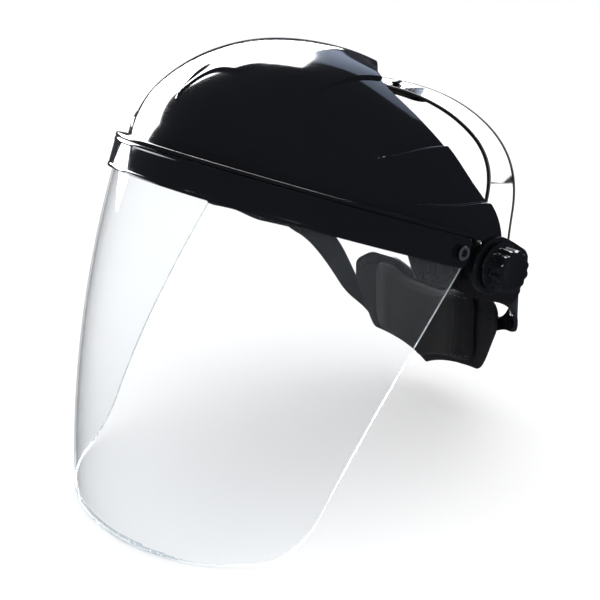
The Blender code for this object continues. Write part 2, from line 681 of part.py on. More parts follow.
def make_ratchet(knob_mat, gear_mat, steel):
    """Adjusting knob, its pinion between the racks, and the spring that clicks on it."""
    start = RATCHET_KNOB_Y
    stations = ((RATCHET_KNOB_RADIUS, 0.0, start), (RATCHET_KNOB_RADIUS, 0.0, start + 0.0020),
                (RATCHET_KNOB_RADIUS - 0.0010, 0.0022, start + 0.0030),
                (RATCHET_KNOB_RADIUS - 0.0020, 0.0022, start + 0.0120),
                (RATCHET_KNOB_RADIUS - 0.0035, 0.0018, start + RATCHET_KNOB_DEPTH))
    rings = []
    for radius, depth, y in stations:
        rings.append([(u, y, NAPE_Z + v) for u, v in lobes(radius, depth, 10, 4)])
    knob = loft("ratchet_knob", rings, knob_mat)
    hole(knob, 0.0042, start - 0.002, start + 0.0100, along_y(0, NAPE_Z), count=24)

    teeth = []
    count = PINION_TEETH * 4
    for k in range(count):
        angle = 2 * pi * k / count
        reach = PITCH_RADIUS - 0.0002 + 0.0007 * cos(PINION_TEETH * (angle - pi / 2))
        teeth.append((reach * cos(angle), reach * sin(angle)))
    pinion = prism("ratchet_pinion", teeth, NAPE_Y + 0.0027, RACK_Y + RACK_THICKNESS + 0.0003,
                   along_y(0, NAPE_Z), gear_mat)
    shaft = turned("pinion_shaft", ((0.0038, RACK_Y), (0.0038, start + 0.0095)),
                   along_y(0, NAPE_Z), count=24)
    boolean(pinion, shaft, "UNION")

    spring = prism("ratchet_spring", circle(0.0076, 28), RACK_Y + RACK_THICKNESS + 0.0008,
                   RACK_Y + RACK_THICKNESS + 0.0014, along_y(0, NAPE_Z), steel)
    hole(spring, 0.0043, 0.055, 0.070, along_y(0, NAPE_Z))


def make_nape_pad(mat):
    rings = []
    for x in spread(-0.042, 0.042, 17):
        low, high = nape_edges(x)
        ends = 1 - smooth_step(abs(x), 0.030, 0.041)
        thick = 0.0025 + 0.0030 * ends
        y = nape_curve(x) - GAP
        low, high = low + 0.003, high - 0.003
        rings.append([(x, y, low), (x, y, high), (x, y - thick / 2, high), (x, y - thick, high - 0.004),
                      (x, y - thick, low + 0.004), (x, y - thick / 2, low)])
    return loft("nape_pad", rings, mat)


# ---- build --------------------------------------------------------------------------------
def move_to_origin():
    pivot_frame = frame_empty("pivot_frame", (0, 0, 0))
    pivot_frame.location = PIVOT
    for item in bpy.data.objects:
        if item.parent is None and item != pivot_frame:
            item.parent = pivot_frame


def build():
    clear_scene()
    black = material("black_gloss_plastic", (0.012, 0.013, 0.016), 0.12)
    dark = material("black_satin_plastic", (0.018, 0.018, 0.020), 0.35)
    clear = material("clear_polycarbonate", (0.86, 0.90, 0.93), 0.03, alpha=0.25)
    bright = material("bright_stud", (0.70, 0.71, 0.73), 0.25, 1.0)
    steel = material("zinc_steel", (0.55, 0.56, 0.58), 0.35, 1.0)
    brass = material("brass", (0.78, 0.60, 0.30), 0.35, 1.0)
    nylon = material("grey_nylon", (0.30, 0.31, 0.32), 0.45)
    foam = material("dark_foam_cloth", (0.045, 0.048, 0.052), 0.90)

    rim_frame = frame_empty("rim_frame", (-RIM_TILT, 0, 0))
    make_crown_shell(black, rim_frame)
    make_window_band(black, rim_frame)
    make_window(clear, rim_frame)
    make_band_studs(bright, rim_frame)
    make_headband(dark, rim_frame)
    make_brow_pad(foam, rim_frame)
    make_crown_straps(black)
    make_strap_pegs(dark)
    make_pivot_hardware(steel, nylon, brass, black, rim_frame)
    make_nape_housing(dark)
    make_nape_cover(dark)
    make_nape_screws(steel)
    make_rear_straps(dark)
    make_ratchet(black, nylon, steel)
    make_nape_pad(foam)
    move_to_origin()


build()
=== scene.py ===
"""Looks of the industrial face shield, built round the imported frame.

Pieces are drawn in metres around the midpoint of the crown's tilt axis (+X is the wearer's
left, -Y the way the wearer looks) and then moved to PIVOT. "Rim frame" is the crown's own
frame, turned about X so that its front stands RIM_TILT higher than level.
"""
import json
from math import asin, cos, degrees, exp, pi, radians, sin, sqrt

import bmesh
import bpy
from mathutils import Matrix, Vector


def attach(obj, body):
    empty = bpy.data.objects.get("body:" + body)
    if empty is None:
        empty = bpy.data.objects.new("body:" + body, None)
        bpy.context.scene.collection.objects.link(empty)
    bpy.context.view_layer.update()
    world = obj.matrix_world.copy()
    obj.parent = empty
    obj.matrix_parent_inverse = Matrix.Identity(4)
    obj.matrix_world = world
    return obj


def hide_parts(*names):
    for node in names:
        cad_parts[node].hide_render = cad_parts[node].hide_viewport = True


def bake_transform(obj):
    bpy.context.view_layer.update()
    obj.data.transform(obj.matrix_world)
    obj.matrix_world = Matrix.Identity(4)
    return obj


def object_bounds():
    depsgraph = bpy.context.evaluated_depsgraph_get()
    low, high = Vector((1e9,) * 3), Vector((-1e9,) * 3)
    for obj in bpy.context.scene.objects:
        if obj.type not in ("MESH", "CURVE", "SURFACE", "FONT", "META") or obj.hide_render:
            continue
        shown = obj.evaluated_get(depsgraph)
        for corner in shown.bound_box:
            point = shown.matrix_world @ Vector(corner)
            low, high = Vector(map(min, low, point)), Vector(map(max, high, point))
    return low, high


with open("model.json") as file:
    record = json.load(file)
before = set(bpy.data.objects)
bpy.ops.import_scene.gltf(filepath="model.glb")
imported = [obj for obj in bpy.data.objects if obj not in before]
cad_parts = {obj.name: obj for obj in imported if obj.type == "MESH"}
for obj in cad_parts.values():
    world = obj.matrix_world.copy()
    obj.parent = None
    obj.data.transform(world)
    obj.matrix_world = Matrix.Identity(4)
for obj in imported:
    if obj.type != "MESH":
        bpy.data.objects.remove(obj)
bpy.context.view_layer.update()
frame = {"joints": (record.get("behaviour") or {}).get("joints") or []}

JOINTS = {joint["name"]: joint for joint in frame["joints"]}
PIVOT = Vector(JOINTS["crown_tilt"]["pos_m"])
SIDES = (("left", 1), ("right", -1))

# ---- dimensions shared with the frame (metres) ----
GAP = 0.0003
RIM_TILT = radians(21.4)
RIM_HALF_WIDTH = 0.103
RIM_REACH = 0.144
RIM_POWER = 2.1
RIM_TOP = 0.010
BAND_HEIGHT = 0.0150
BAND_THICKNESS = 0.0025
BAND_REAR = -0.020
STUD_Y = BAND_REAR - 0.006
STUD_Z = RIM_TOP - BAND_HEIGHT / 2
STUD_HOLE = 0.0024
STUD_BORE = (0.090, 0.110)      # from and to this far out
RIM_ROUND = 0.00055             # edge radius of the rim and the band
SHELL_THICKNESS = 0.0025
DOME_HALF_WIDTH = 0.1015
DOME_HEIGHT = 0.071
DOME_CENTRE = -0.048
DOME_FRONT = 0.089
DOME_REAR = 0.125
DOME_POWER = 1.86
SPINE_HEIGHT = 0.0040
DOME_FEET = (2.2, 177.8)        # arch angles at the dome's two feet, degrees
DOME_REACH = radians(120)       # how far round the pivots the profile is worked out
EAR_RADIUS = 0.0145
WINDOW_THICKNESS = 0.0010
WINDOW_DEPTH = 0.171
WINDOW_SIDE_RISE = 0.043
WINDOW_TAPER = 0.36
WINDOW_CURL = 1.17
WINDOW_CORNER = 0.018
WINDOW_TOP = RIM_TOP - 0.002
WINDOW_HIDDEN = WINDOW_TOP - (RIM_TOP - BAND_HEIGHT)
LIP_OUTER = BAND_THICKNESS + GAP + WINDOW_THICKNESS + GAP
LIP_THICKNESS = 0.0022
LEDGE_WIDTH = 0.0098
HEAD_HALF_WIDTH = 0.0894
HEAD_REACH = 0.100
HEAD_THICKNESS = 0.0024
BROW_LOW = -0.0015
BROW_HIGH = 0.0215
STRAP_TOP = 0.0735
STRAP_THICKNESS = 0.0018
STRAP_WIDTH = 0.0155
STRAP_Y = 0.0225
STRAP_POWER = 2.4
BOLT_RADIUS = 0.0030
BOLT_HOLE = 0.0033
STRAP_EYE_X = HEAD_HALF_WIDTH + GAP
SPACER_X = STRAP_EYE_X + STRAP_THICKNESS + GAP
EAR_INNER_X = DOME_HALF_WIDTH - SHELL_THICKNESS - 0.0002
EAR_OUTER_X = RIM_HALF_WIDTH + 0.0003
WASHER_X = EAR_OUTER_X + GAP
WASHER_THICKNESS = 0.0008
KNOB_INNER_X = WASHER_X + WASHER_THICKNESS + GAP
KNOB_OUTER_X = 0.1155
NAPE_Z = -0.074
NAPE_Y = 0.057
NAPE_HALF_HEIGHT = 0.0190
NAPE_HALF_WIDTH = 0.058
NAPE_THICKNESS = 0.0022
TRAY_HALF_WIDTH = 0.036
TRAY_DEPTH = 0.0080
COVER_Y = NAPE_Y + TRAY_DEPTH + GAP
COVER_THICKNESS = 0.0024
TRAY_CORNER = 0.008
SCREW_X = 0.0300
RACK_Y = 0.0602
RACK_THICKNESS = 0.0020
RACK_HEIGHT = 0.0090
RACK_INNER = 0.0066
RACK_CENTRE = RACK_INNER + RACK_HEIGHT / 2
PITCH_RADIUS = 0.0055
PINION_TEETH = 10
RATCHET_KNOB_Y = COVER_Y + COVER_THICKNESS + 0.0005
RATCHET_KNOB_DEPTH = 0.0135
RATCHET_KNOB_RADIUS = 0.0190
REAR_STRAP_POWER = 2.35
EDGE_TURNS = tuple(radians(turn) for turn in (22, 45, 68, 88))      # steps round a knob's edge


# ---- small maths ----
def signed_power(value, power):
    return (abs(value) ** power) * (1 if value >= 0 else -1)


def smooth_step(value, start, end):
    t = min(1.0, max(0.0, (value - start) / (end - start)))
    return t * t * (3 - 2 * t)


def spread(start, end, count):
    return [start + (end - start) * k / (count - 1) for k in range(count)]


def tilted(x, y, z):
    """A point of the rim frame, around the pivot."""
    up, along = sin(RIM_TILT), cos(RIM_TILT)
    return Vector((x, y * along + z * up, -y * up + z * along))


def corner_inset(distance, radius):
    """How far a round corner draws in at a distance from the end."""
    left = max(0.0, radius - distance)
    return radius - sqrt(max(0.0, radius * radius - left * left))


# ---- mesh helpers ----
def add_object(name, bm):
    bmesh.ops.recalc_face_normals(bm, faces=bm.faces)
    mesh = bpy.data.meshes.new(name)
    bm.to_mesh(mesh)
    bm.free()
    item = bpy.data.objects.new(name, mesh)
    bpy.context.scene.collection.objects.link(item)
    return item


def loft_into(bm, rings, painted=()):
    """Adds a closed solid; the listed segments of its rings take the second material."""
    made = [[bm.verts.new(point) for point in ring] for ring in rings]
    count = len(made[0])
    for first, second in zip(made, made[1:]):
        for k in range(count):
            after = (k + 1) % count
            face = bm.faces.new((first[k], first[after], second[after], second[k]))
            face.material_index = 1 if k in painted else 0
    bm.faces.new(made[0])
    bm.faces.new(reversed(made[-1]))


def loft(name, *groups, painted=(), mats=()):
    """Closed solids, one through each group of rings."""
    bm = bmesh.new()
    for rings in groups:
        loft_into(bm, rings, painted)
    item = add_object(name, bm)
    for mat in mats:
        item.data.materials.append(mat)
    return item


def sheet_solid(name, outer, inner):
    bm = bmesh.new()
    top = [[bm.verts.new(point) for point in row] for row in outer]
    low = [[bm.verts.new(point) for point in row] for row in inner]
    rows, columns = len(top), len(top[0])
    for j in range(rows - 1):
        for i in range(columns - 1):
            bm.faces.new((top[j][i], top[j][i + 1], top[j + 1][i + 1], top[j + 1][i]))
            bm.faces.new((low[j][i], low[j + 1][i], low[j + 1][i + 1], low[j][i + 1]))
    for j in range(rows - 1):
        for i in (0, columns - 1):
            bm.faces.new((top[j][i], top[j + 1][i], low[j + 1][i], low[j][i]))
    for i in range(columns - 1):
        for j in (0, rows - 1):
            bm.faces.new((top[j][i], low[j][i], low[j][i + 1], top[j][i + 1]))
    return add_object(name, bm)


def rounded(outline, radius, steps=4):
    """An outline with each corner turned into a short arc."""
    points = []
    for k, corner in enumerate(outline):
        corner = Vector(corner)
        before = Vector(outline[k - 1]) - corner
        after = Vector(outline[(k + 1) % len(outline)]) - corner
        reach = min(radius, 0.48 * before.length, 0.48 * after.length)
        start, end = corner + before.normalized() * reach, corner + after.normalized() * reach
        for i in range(steps + 1):
            t = i / steps
            points.append(tuple(start * (1 - t) ** 2 + corner * 2 * t * (1 - t) + end * t * t))
    return points


BEADS = tuple(range(3, 12)) + tuple(range(19, 28))    # segments of beaded_section outside its field


def beaded_section(inner, outer, low, high, bead=0.0016, sunk=0.00035, radius=0.0005):
    """A strip's section: smooth on the inner face, with a bead along both edges of the outer face."""
    return rounded(((inner, low), (outer, low), (outer, low + bead), (outer - sunk, low + bead + sunk),
                    (outer - sunk, high - bead - sunk), (outer, high - bead), (outer, high), (inner, high)),
                   radius, 3)


def rounded_box(half_u, half_v, radius, steps=8):
    points = []
    for corner, (su, sv) in enumerate(((1, 1), (-1, 1), (-1, -1), (1, -1))):
        for k in range(steps + 1):
            angle = pi / 2 * (corner + k / steps)
            points.append((su * (half_u - radius) + radius * cos(angle),
                           sv * (half_v - radius) + radius * sin(angle)))
    return points


def circle(radius, count=64):
    return [(radius * cos(2 * pi * k / count), radius * sin(2 * pi * k / count)) for k in range(count)]


def lobes(radius, depth, number, per_lobe=10):
    points = []
    for k in range(number * per_lobe):
        angle = 2 * pi * k / (number * per_lobe)
        reach = radius - depth * abs(sin(number * angle / 2)) ** 3
        points.append((reach * cos(angle), reach * sin(angle)))
    return points


def along_x(sign=1, y=0.0, z=0.0):
    """Stations on an axis of the rim frame that runs outward through a point of one side."""
    return lambda u, v, w: tilted(sign * w, y + u, z + v)


def along_y(x=0.0, z=NAPE_Z):
    return lambda u, v, w: Vector((x + u, w, z + v))


def along_z(x=0.0, y=0.0):
    return lambda u, v, w: Vector((x + u, y + v, w))


def turned_rings(profile, place, count=64):
    return [[place(u, v, height) for u, v in circle(radius, count)] for radius, height in profile]


def raised(base, *stations):
    """Stations whose last value, the height, is counted from a base."""
    return [(*station[:-1], base + station[-1]) for station in stations]


def tube(radius, start, end, place, count=40):
    """Rings of a plain round bar."""
    return turned_rings(((radius, start), (radius, end)), place, count)


def extruded_rings(stations, place):
    """Rings from (outline, height) stations."""
    return [[place(u, v, height) for u, v in outline] for outline, height in stations]


def soft_slab(outline_at, start, end, edge, place, steps=4):
    """A slab with round edges; outline_at gives its outline drawn in by an inset."""
    stations = []
    for k in range(steps + 1):
        angle = pi / 2 * k / steps
        stations.append((outline_at(edge * (1 - sin(angle))), start + edge * (1 - cos(angle))))
    for k in range(steps + 1):
        angle = pi / 2 * k / steps
        stations.append((outline_at(edge * (1 - cos(angle))), end - edge * (1 - sin(angle))))
    return extruded_rings(stations, place)


def bake(item):
    """Applies the modifiers of an object."""
    graph = bpy.context.evaluated_depsgraph_get()
    mesh = bpy.data.meshes.new_from_object(item.evaluated_get(graph))
    item.modifiers.clear()
    item.data = mesh
    return item


def boolean(target, tool, operation="DIFFERENCE"):
    mod = target.modifiers.new("shape", "BOOLEAN")
    mod.operation = operation
    mod.solver = "EXACT"
    mod.object = tool
    bake(target)
    bpy.data.objects.remove(tool, do_unlink=True)
    return target


def bore(item, *size, count=40):
    """Cuts a round hole; its size and place are those of a tube."""
    return boolean(item, loft("bore", tube(*size, count)))


def bore_for_studs(item, count=32):
    holes = [tube(STUD_HOLE, *STUD_BORE, along_x(sign, STUD_Y, STUD_Z), count) for _, sign in SIDES]
    return boolean(item, loft("stud_bores", *holes))


def bore_for_bolts(item, start, end):
    holes = [tube(BOLT_HOLE, start, end, along_x(sign)) for _, sign in SIDES]
    return boolean(item, loft("bolt_bores", *holes))


def dress(item, mat, slot, body, *nodes, angle=38):
    """Gives a finished shape its material, its place, its body and the nodes it stands for."""
    item.data.shade_smooth()
    item.data.set_sharp_from_angle(angle=radians(angle))
    if not item.data.materials:
        item.data.materials.append(mat)
    item.location = PIVOT
    if body:
        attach(item, body)
    if nodes:
        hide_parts(*nodes)
    return item


# ---- materials ----
class Shader:
    """A material's node tree with short calls to add and join nodes."""

    def __init__(self, name):
        self.mat = bpy.data.materials.new(name)
        self.mat.use_nodes = True
        self.tree = self.mat.node_tree
        self.main = self.tree.nodes["Principled BSDF"]
        self.output = self.tree.nodes["Material Output"]
        self.coords = self.add("ShaderNodeTexCoord").outputs["Object"]

    def add(self, kind, **settings):
        node = self.tree.nodes.new(kind)
        for key, value in settings.items():
            setattr(node, key, value)
        return node

    def join(self, source, target):
        self.tree.links.new(source, target)

    def drive(self, name, source):
        self.join(source, self.main.inputs[name])

    def set(self, **values):
        for key, value in values.items():
            self.main.inputs[key.replace("_", " ")].default_value = value

    def noise(self, scale, detail=3.0, stretch=None):
        node = self.add("ShaderNodeTexNoise")
        node.inputs["Scale"].default_value = scale
        node.inputs["Detail"].default_value = detail
        source = self.coords
        if stretch:
            mapping = self.add("ShaderNodeMapping")
            mapping.inputs["Scale"].default_value = stretch
            self.join(self.coords, mapping.inputs["Vector"])
            source = mapping.outputs["Vector"]
        self.join(source, node.inputs["Vector"])
        return node.outputs["Fac"]

    def ranged(self, source, low, high, out_low, out_high):
        node = self.add("ShaderNodeMapRange")
        limits = {"From Min": low, "From Max": high, "To Min": out_low, "To Max": out_high}
        for name, value in limits.items():
            node.inputs[name].default_value = value
        self.join(source, node.inputs["Value"])
        return node.outputs["Result"]

    def maths(self, operation, first, second):
        node = self.add("ShaderNodeMath", operation=operation)
        for slot, value in enumerate((first, second)):
            if isinstance(value, (int, float)):
                node.inputs[slot].default_value = value
            else:
                self.join(value, node.inputs[slot])
        return node.outputs[0]

    def times(self, first, second):
        return self.maths("MULTIPLY", first, second)

    def plus(self, first, second):
        return self.maths("ADD", first, second)

    def colours(self, factor, first, second):
        """The first colour where the factor is 0, the second where it is 1."""
        node = self.add("ShaderNodeMix", data_type="RGBA")
        self.join(factor, node.inputs["Factor"])
        node.inputs["A"].default_value = (*first, 1)
        node.inputs["B"].default_value = (*second, 1)
        return node.outputs["Result"]

    def bump(self, height, strength, distance):
        node = self.add("ShaderNodeBump")
        node.inputs["Strength"].default_value = strength
        node.inputs["Distance"].default_value = distance
        self.join(height, node.inputs["Height"])
        self.drive("Normal", node.outputs["Normal"])

    def mixed(self, factor, first, second):
        """A shader that goes from the first to the second as the factor goes from 0 to 1."""
        node = self.add("ShaderNodeMixShader")
        for slot, source in enumerate((factor, first, second)):
            self.join(source, node.inputs[slot])
        return node.outputs[0]

    def lobe(self, kind, colour=None):
        """A scattering node of one kind and colour."""
        node = self.add("ShaderNodeBsdf" + kind)
        if colour:
            node.inputs["Color"].default_value = (*colour, 1)
        return node

    def worn_edges(self):
        """About 0 on flat parts and 1 on the most exposed edges."""
        geometry = self.add("ShaderNodeNewGeometry")
        return self.ranged(geometry.outputs["Pointiness"], 0.53, 0.62, 0.0, 1.0)


def plastic(name, base, worn, roughness, grain, grain_depth, coat=0.0):
    """Moulded plastic: fine grain, hair scratches in the sheen and slightly pale edges."""
    shader = Shader(name)
    cloudy = shader.noise(45, 4)
    scratches = shader.ranged(shader.noise(60, 2, (1, 26, 1)), 0.60, 0.72, 0.0, 1.0)
    edges = shader.worn_edges()
    tone = shader.times(shader.plus(edges, 0.10), cloudy)
    shader.drive("Base Color", shader.colours(tone, base, worn))
    sheen = shader.ranged(cloudy, 0.3, 0.7, roughness * 0.85, roughness * 1.15)
    sheen = shader.plus(sheen, shader.times(scratches, 0.05))
    sheen = shader.plus(sheen, shader.times(edges, 0.10))
    shader.drive("Roughness", sheen)
    shader.bump(shader.noise(grain, 3), 0.35, grain_depth)
    shader.set(IOR=1.52, Coat_Weight=coat, Coat_Roughness=0.05)
    return shader.mat


def metal(name, base, stained, roughness):
    """Bright metal with dull patches and fine drawn lines."""
    shader = Shader(name)
    patches = shader.noise(260, 4)
    lines = shader.noise(900, 2, (1, 1, 14))
    shader.drive("Base Color", shader.colours(patches, base, stained))
    shader.drive("Roughness", shader.ranged(lines, 0.3, 0.7, roughness * 0.7, roughness * 1.4))
    shader.bump(lines, 0.2, 0.00003)
    shader.set(Metallic=1.0)
    return shader.mat


LOOPS = 640.0                   # wave scale of the knit


def cloth(name, base, light):
    """Knitted cover on foam: rows of loops and fuzz, painted shade in the hollows between the loops, and soft
    mottled tone.
    """
    shader = Shader(name)
    waves = []
    for turn in ((0, 0, 0), (0, 0, radians(90)), (0, radians(90), 0)):
        mapping = shader.add("ShaderNodeMapping")
        mapping.inputs["Rotation"].default_value = turn
        shader.join(shader.coords, mapping.inputs["Vector"])
        wave = shader.add("ShaderNodeTexWave", wave_type="BANDS", bands_direction="X")
        wave.inputs["Scale"].default_value = LOOPS
        wave.inputs["Distortion"].default_value = 0.6
        shader.join(mapping.outputs["Vector"], wave.inputs["Vector"])
        waves.append(wave.outputs["Fac"])
    weave = shader.times(shader.plus(waves[0], waves[1]), waves[2])
    fuzz = shader.noise(1500, 4)
    mottled = shader.noise(120, 3)
    # colour follows the knit's relief: darker in the hollows between loops, painted shade; the mottling is
    # random tone
    tone = shader.times(shader.plus(weave, fuzz), mottled)
    shader.drive("Base Color", shader.colours(tone, base, light))
    shader.bump(shader.plus(weave, shader.times(fuzz, 0.5)), 0.7, 0.00018)
    shader.set(Roughness=0.92, Sheen_Weight=0.08, Sheen_Roughness=0.4, Specular_IOR_Level=0.25)
    return shader.mat


def clear_sheet(name):
    """Clear window: nearly all light passes, the surfaces mirror by angle, with faint hair scratches."""
    shader = Shader(name)
    facing = shader.add("ShaderNodeLayerWeight").outputs["Facing"]
    grazing = shader.times(shader.maths("POWER", facing, 5.0), 0.45)
    mirrored = shader.plus(grazing, 0.04)
    glossy = shader.lobe("Glossy")
    scratches = shader.ranged(shader.noise(90, 3, (1, 1, 18)), 0.62, 0.75, 0.0, 1.0)
    shader.join(shader.ranged(scratches, 0, 1, 0.012, 0.09), glossy.inputs["Roughness"])
    through = shader.lobe("Transparent", (0.984, 0.989, 0.993))
    haze = shader.lobe("Diffuse", (0.80, 0.86, 0.92))
    dust = shader.ranged(shader.noise(14, 5), 0.35, 0.75, 0.004, 0.018)
    dull = shader.plus(dust, shader.times(scratches, 0.012))
    veil = shader.mixed(dull, through.outputs[0], haze.outputs[0])
    surface = shader.mixed(mirrored, veil, glossy.outputs[0])
    shadow = shader.lobe("Transparent", (0.93, 0.95, 0.96))
    shadow_ray = shader.add("ShaderNodeLightPath").outputs["Is Shadow Ray"]
    final = shader.mixed(shadow_ray, surface, shadow.outputs[0])
    shader.join(final, shader.output.inputs["Surface"])
    return shader.mat


def sheet_edge(name):
    """Cut edge of the window, where the light that runs inside the sheet comes out; that glow is painted into
    the edge's pale colour.
    """
    shader = Shader(name)
    tone = shader.noise(400, 3)
    # pale bluish colour: painted glow of the light that comes out at the cut edge
    shader.drive("Base Color", shader.colours(tone, (0.62, 0.70, 0.74), (0.82, 0.87, 0.90)))
    shader.drive("Roughness", shader.ranged(tone, 0.3, 0.7, 0.15, 0.35))
    shader.set(IOR=1.58, Transmission_Weight=0.35)
    return shader.mat


# name, colour, colour of worn edges, roughness, grain scale, grain depth, clear coat
DARK_OUTLINE_MATTE = plastic("black_painted_outline", (0.0020, 0.0020, 0.0024), (0.006, 0.006, 0.007), 0.55, 1500, 0.00002)
# This black mirrors almost nothing: on the strap beads it paints dark outlines along the straps' edges, where
# the glossy plastic would mirror the bright surround.
DARK_OUTLINE_MATTE.node_tree.nodes["Principled BSDF"].inputs["Specular IOR Level"].default_value = 0.06
GLOSS = plastic("black_gloss", (0.0035, 0.0038, 0.0050), (0.012, 0.013, 0.016), 0.085, 420, 0.000012, 0.3)
SATIN = plastic("black_satin", (0.0042, 0.0044, 0.0052), (0.018, 0.018, 0.021), 0.26, 1900, 0.00003)
NYLON = plastic("grey_nylon", (0.10, 0.105, 0.11), (0.20, 0.205, 0.21), 0.42, 1500, 0.00004)
STEEL = metal("zinc_steel", (0.58, 0.59, 0.61), (0.42, 0.43, 0.46), 0.28)
STUD = metal("bright_stud", (0.86, 0.87, 0.88), (0.66, 0.67, 0.70), 0.16)
BRASS = metal("brass", (0.80, 0.62, 0.30), (0.55, 0.40, 0.18), 0.28)
FOAM = cloth("foam_cloth", (0.0026, 0.0028, 0.0034), (0.010, 0.011, 0.013))
THREAD = cloth("stitch_thread", (0.020, 0.021, 0.024), (0.060, 0.062, 0.066))
CLEAR = clear_sheet("clear_sheet")
EDGE = sheet_edge("window_edge_painted_glow")


# ---- rim and dome curves ----
def rim_point(angle, offset, z):
    """A point at a height and at an offset outward from the rim's outer curve."""
    def curve(a):
        return Vector((RIM_HALF_WIDTH * signed_power(cos(a), 2 / RIM_POWER),
                       -RIM_REACH * abs(sin(a)) ** (2 / RIM_POWER), 0))
    step = 0.004
    along = curve(min(angle + step, pi)) - curve(max(angle - step, 0.0))
    outward = Vector((-along.y, along.x, 0)).normalized()
    point = curve(angle) + outward * offset
    return Vector((point.x, point.y, z))


def rim_angle(y):
    return asin((-y / RIM_REACH) ** (RIM_POWER / 2))


def rim_stations(end_length, count, end_steps=8):
    """Rim angles from the left rear end to the right one, close together near both ends."""
    first, inside = rim_angle(BAND_REAR), rim_angle(BAND_REAR - end_length)
    ends = [first + (inside - first) * (1 - cos(pi / 2 * k / end_steps)) for k in range(end_steps)]
    return ends + spread(inside, pi - inside, count) + [pi - a for a in reversed(ends)]


def from_end(angle):
    """Distance along Y from the rear end of the band."""
    return BAND_REAR + RIM_REACH * abs(sin(angle)) ** (2 / RIM_POWER)


FAN_STEPS = 360


def dome_profile():
    """Distance from the pivots' line to the dome's middle profile, at even fan angles."""
    table = []
    for k in range(FAN_STEPS + 1):
        fan = DOME_REACH * k / FAN_STEPS
        low, high = 0.02, 0.25
        for _ in range(40):
            mid = (low + high) / 2
            y, z = -mid * cos(fan) - DOME_CENTRE, mid * sin(fan)
            reach = DOME_FRONT if y < 0 else DOME_REAR
            inside = abs(y / reach) ** DOME_POWER + (z / DOME_HEIGHT) ** DOME_POWER < 1
            low, high = (mid, high) if inside else (low, mid)
        table.append(low)
    return table


PROFILE = dome_profile()


def dome_radius(fan):
    place = min(max(fan / DOME_REACH * FAN_STEPS, 0.0), FAN_STEPS - 1e-6)
    k = int(place)
    return PROFILE[k] + (PROFILE[k + 1] - PROFILE[k]) * (place - k)


# the dome's rear edge, in degrees: its fan angle, and the height and width of tongue and ears
REAR_FAN = 44
REAR_TONGUE = (28, 19)
REAR_EAR = (90, 6)


def rear_edge_fan(arch):
    """Fan angle of the dome's rear edge: a tongue over the middle and an ear at each foot."""
    side = degrees(min(arch, pi - arch))
    tongue = REAR_TONGUE[0] * exp(-((90 - side) / REAR_TONGUE[1]) ** 2)
    ear = REAR_EAR[0] * exp(-side / REAR_EAR[1])
    return radians(REAR_FAN + tongue + ear)


def step_across(distance, width, tail):
    """A step that is 1 right at its line and fades to 0 over the tail behind it."""
    return smooth_step(distance, -width, width) * (1 - smooth_step(distance, width, tail))


# The dome's three raised tiers. For each: its height, the fan angles between which it grows,
# and how far it tails off behind its edge (degrees).
TIERS = ((0.0017, 17, 40, 15), (0.0018, 4, 24, 15), (0.0020, 1.5, 20, 10))
TIER_EDGE = (0.10, 0.22)        # half width of a tier's step at no height, and what full height adds
ARCH_HEIGHT = 0.0005
BROW_HEIGHT = 0.0008


def tier_lines(fan):
    """Arch angles, in degrees, of the three tier edges at a fan angle in degrees."""
    return (61.0, 32.8 + 20.7 * exp(-(fan - 5.5) / 8.5), 13.8 + 23.4 * exp(-(fan - 1.8) / 8.6))


def tier_relief(side, fan):
    """The top tier is proud above its edge, and the two that sweep back from the rim below theirs."""
    upper, middle, lower = tier_lines(fan)
    relief = 0.0
    for (height, start, end, tail), gap in zip(TIERS, (side - upper, middle - side, lower - side)):
        grown = smooth_step(fan, start, end)
        relief += height * grown * step_across(gap, TIER_EDGE[0] + TIER_EDGE[1] * grown, tail)
    return relief


def dome_relief(arch, fan):
    """Height of the raised shapes over the plain dome."""
    side = degrees(min(arch, pi - arch))
    fan = degrees(fan)
    relief = tier_relief(side, fan)
    # shallow arch in front of the middle tier
    crest = 3.7 + 5.3 * (1 - ((side - 50) / 18.7) ** 2)
    fade = smooth_step(side, 47, 52) * (1 - smooth_step(side, 66, 71))
    relief += ARCH_HEIGHT * fade * step_across(crest - fan, 0.30, 5)
    # brow: a raised field over a curve that springs from the middle of the front
    off_middle = 90 - side
    brow = 20.7 - 10.0 * exp(-off_middle / 1.6)
    fade = 1 - smooth_step(off_middle, 8, 13)
    relief += BROW_HEIGHT * fade * step_across(fan - brow, 0.45, 9)
    return relief


def dome_point(arch, fan, inset):
    """The plain dome with its spine, which is soft in front and crisp at the rear."""
    half_width = DOME_HALF_WIDTH - inset
    across = signed_power(cos(arch), 2 / RIM_POWER)
    up = abs(sin(arch)) ** (2 / RIM_POWER)
    radius = dome_radius(fan) - inset
    x = half_width * across
    crisp = smooth_step(degrees(fan), 36, 66)
    foot, crest = 0.0750 - 0.0546 * crisp, 0.0165 + 0.0011 * crisp
    spine = 1 - smooth_step(abs(x), crest, foot)
    radius += SPINE_HEIGHT * spine * smooth_step(fan, 0.0, 0.25)
    return Vector((x, -radius * up * cos(fan), RIM_TOP + radius * up * sin(fan)))


def dome_surface(arch, fan, inset, relief):
    point = dome_point(arch, fan, inset)
    if relief:
        outward = Vector((point.x, point.y - DOME_CENTRE * 0.6, point.z)).normalized()
        point += outward * dome_relief(arch, fan)
    return tilted(*point)


CREASE_PULL = 7.0               # how much closer the grid lies near a crease
CREASE_REACH = 1.3              # degrees


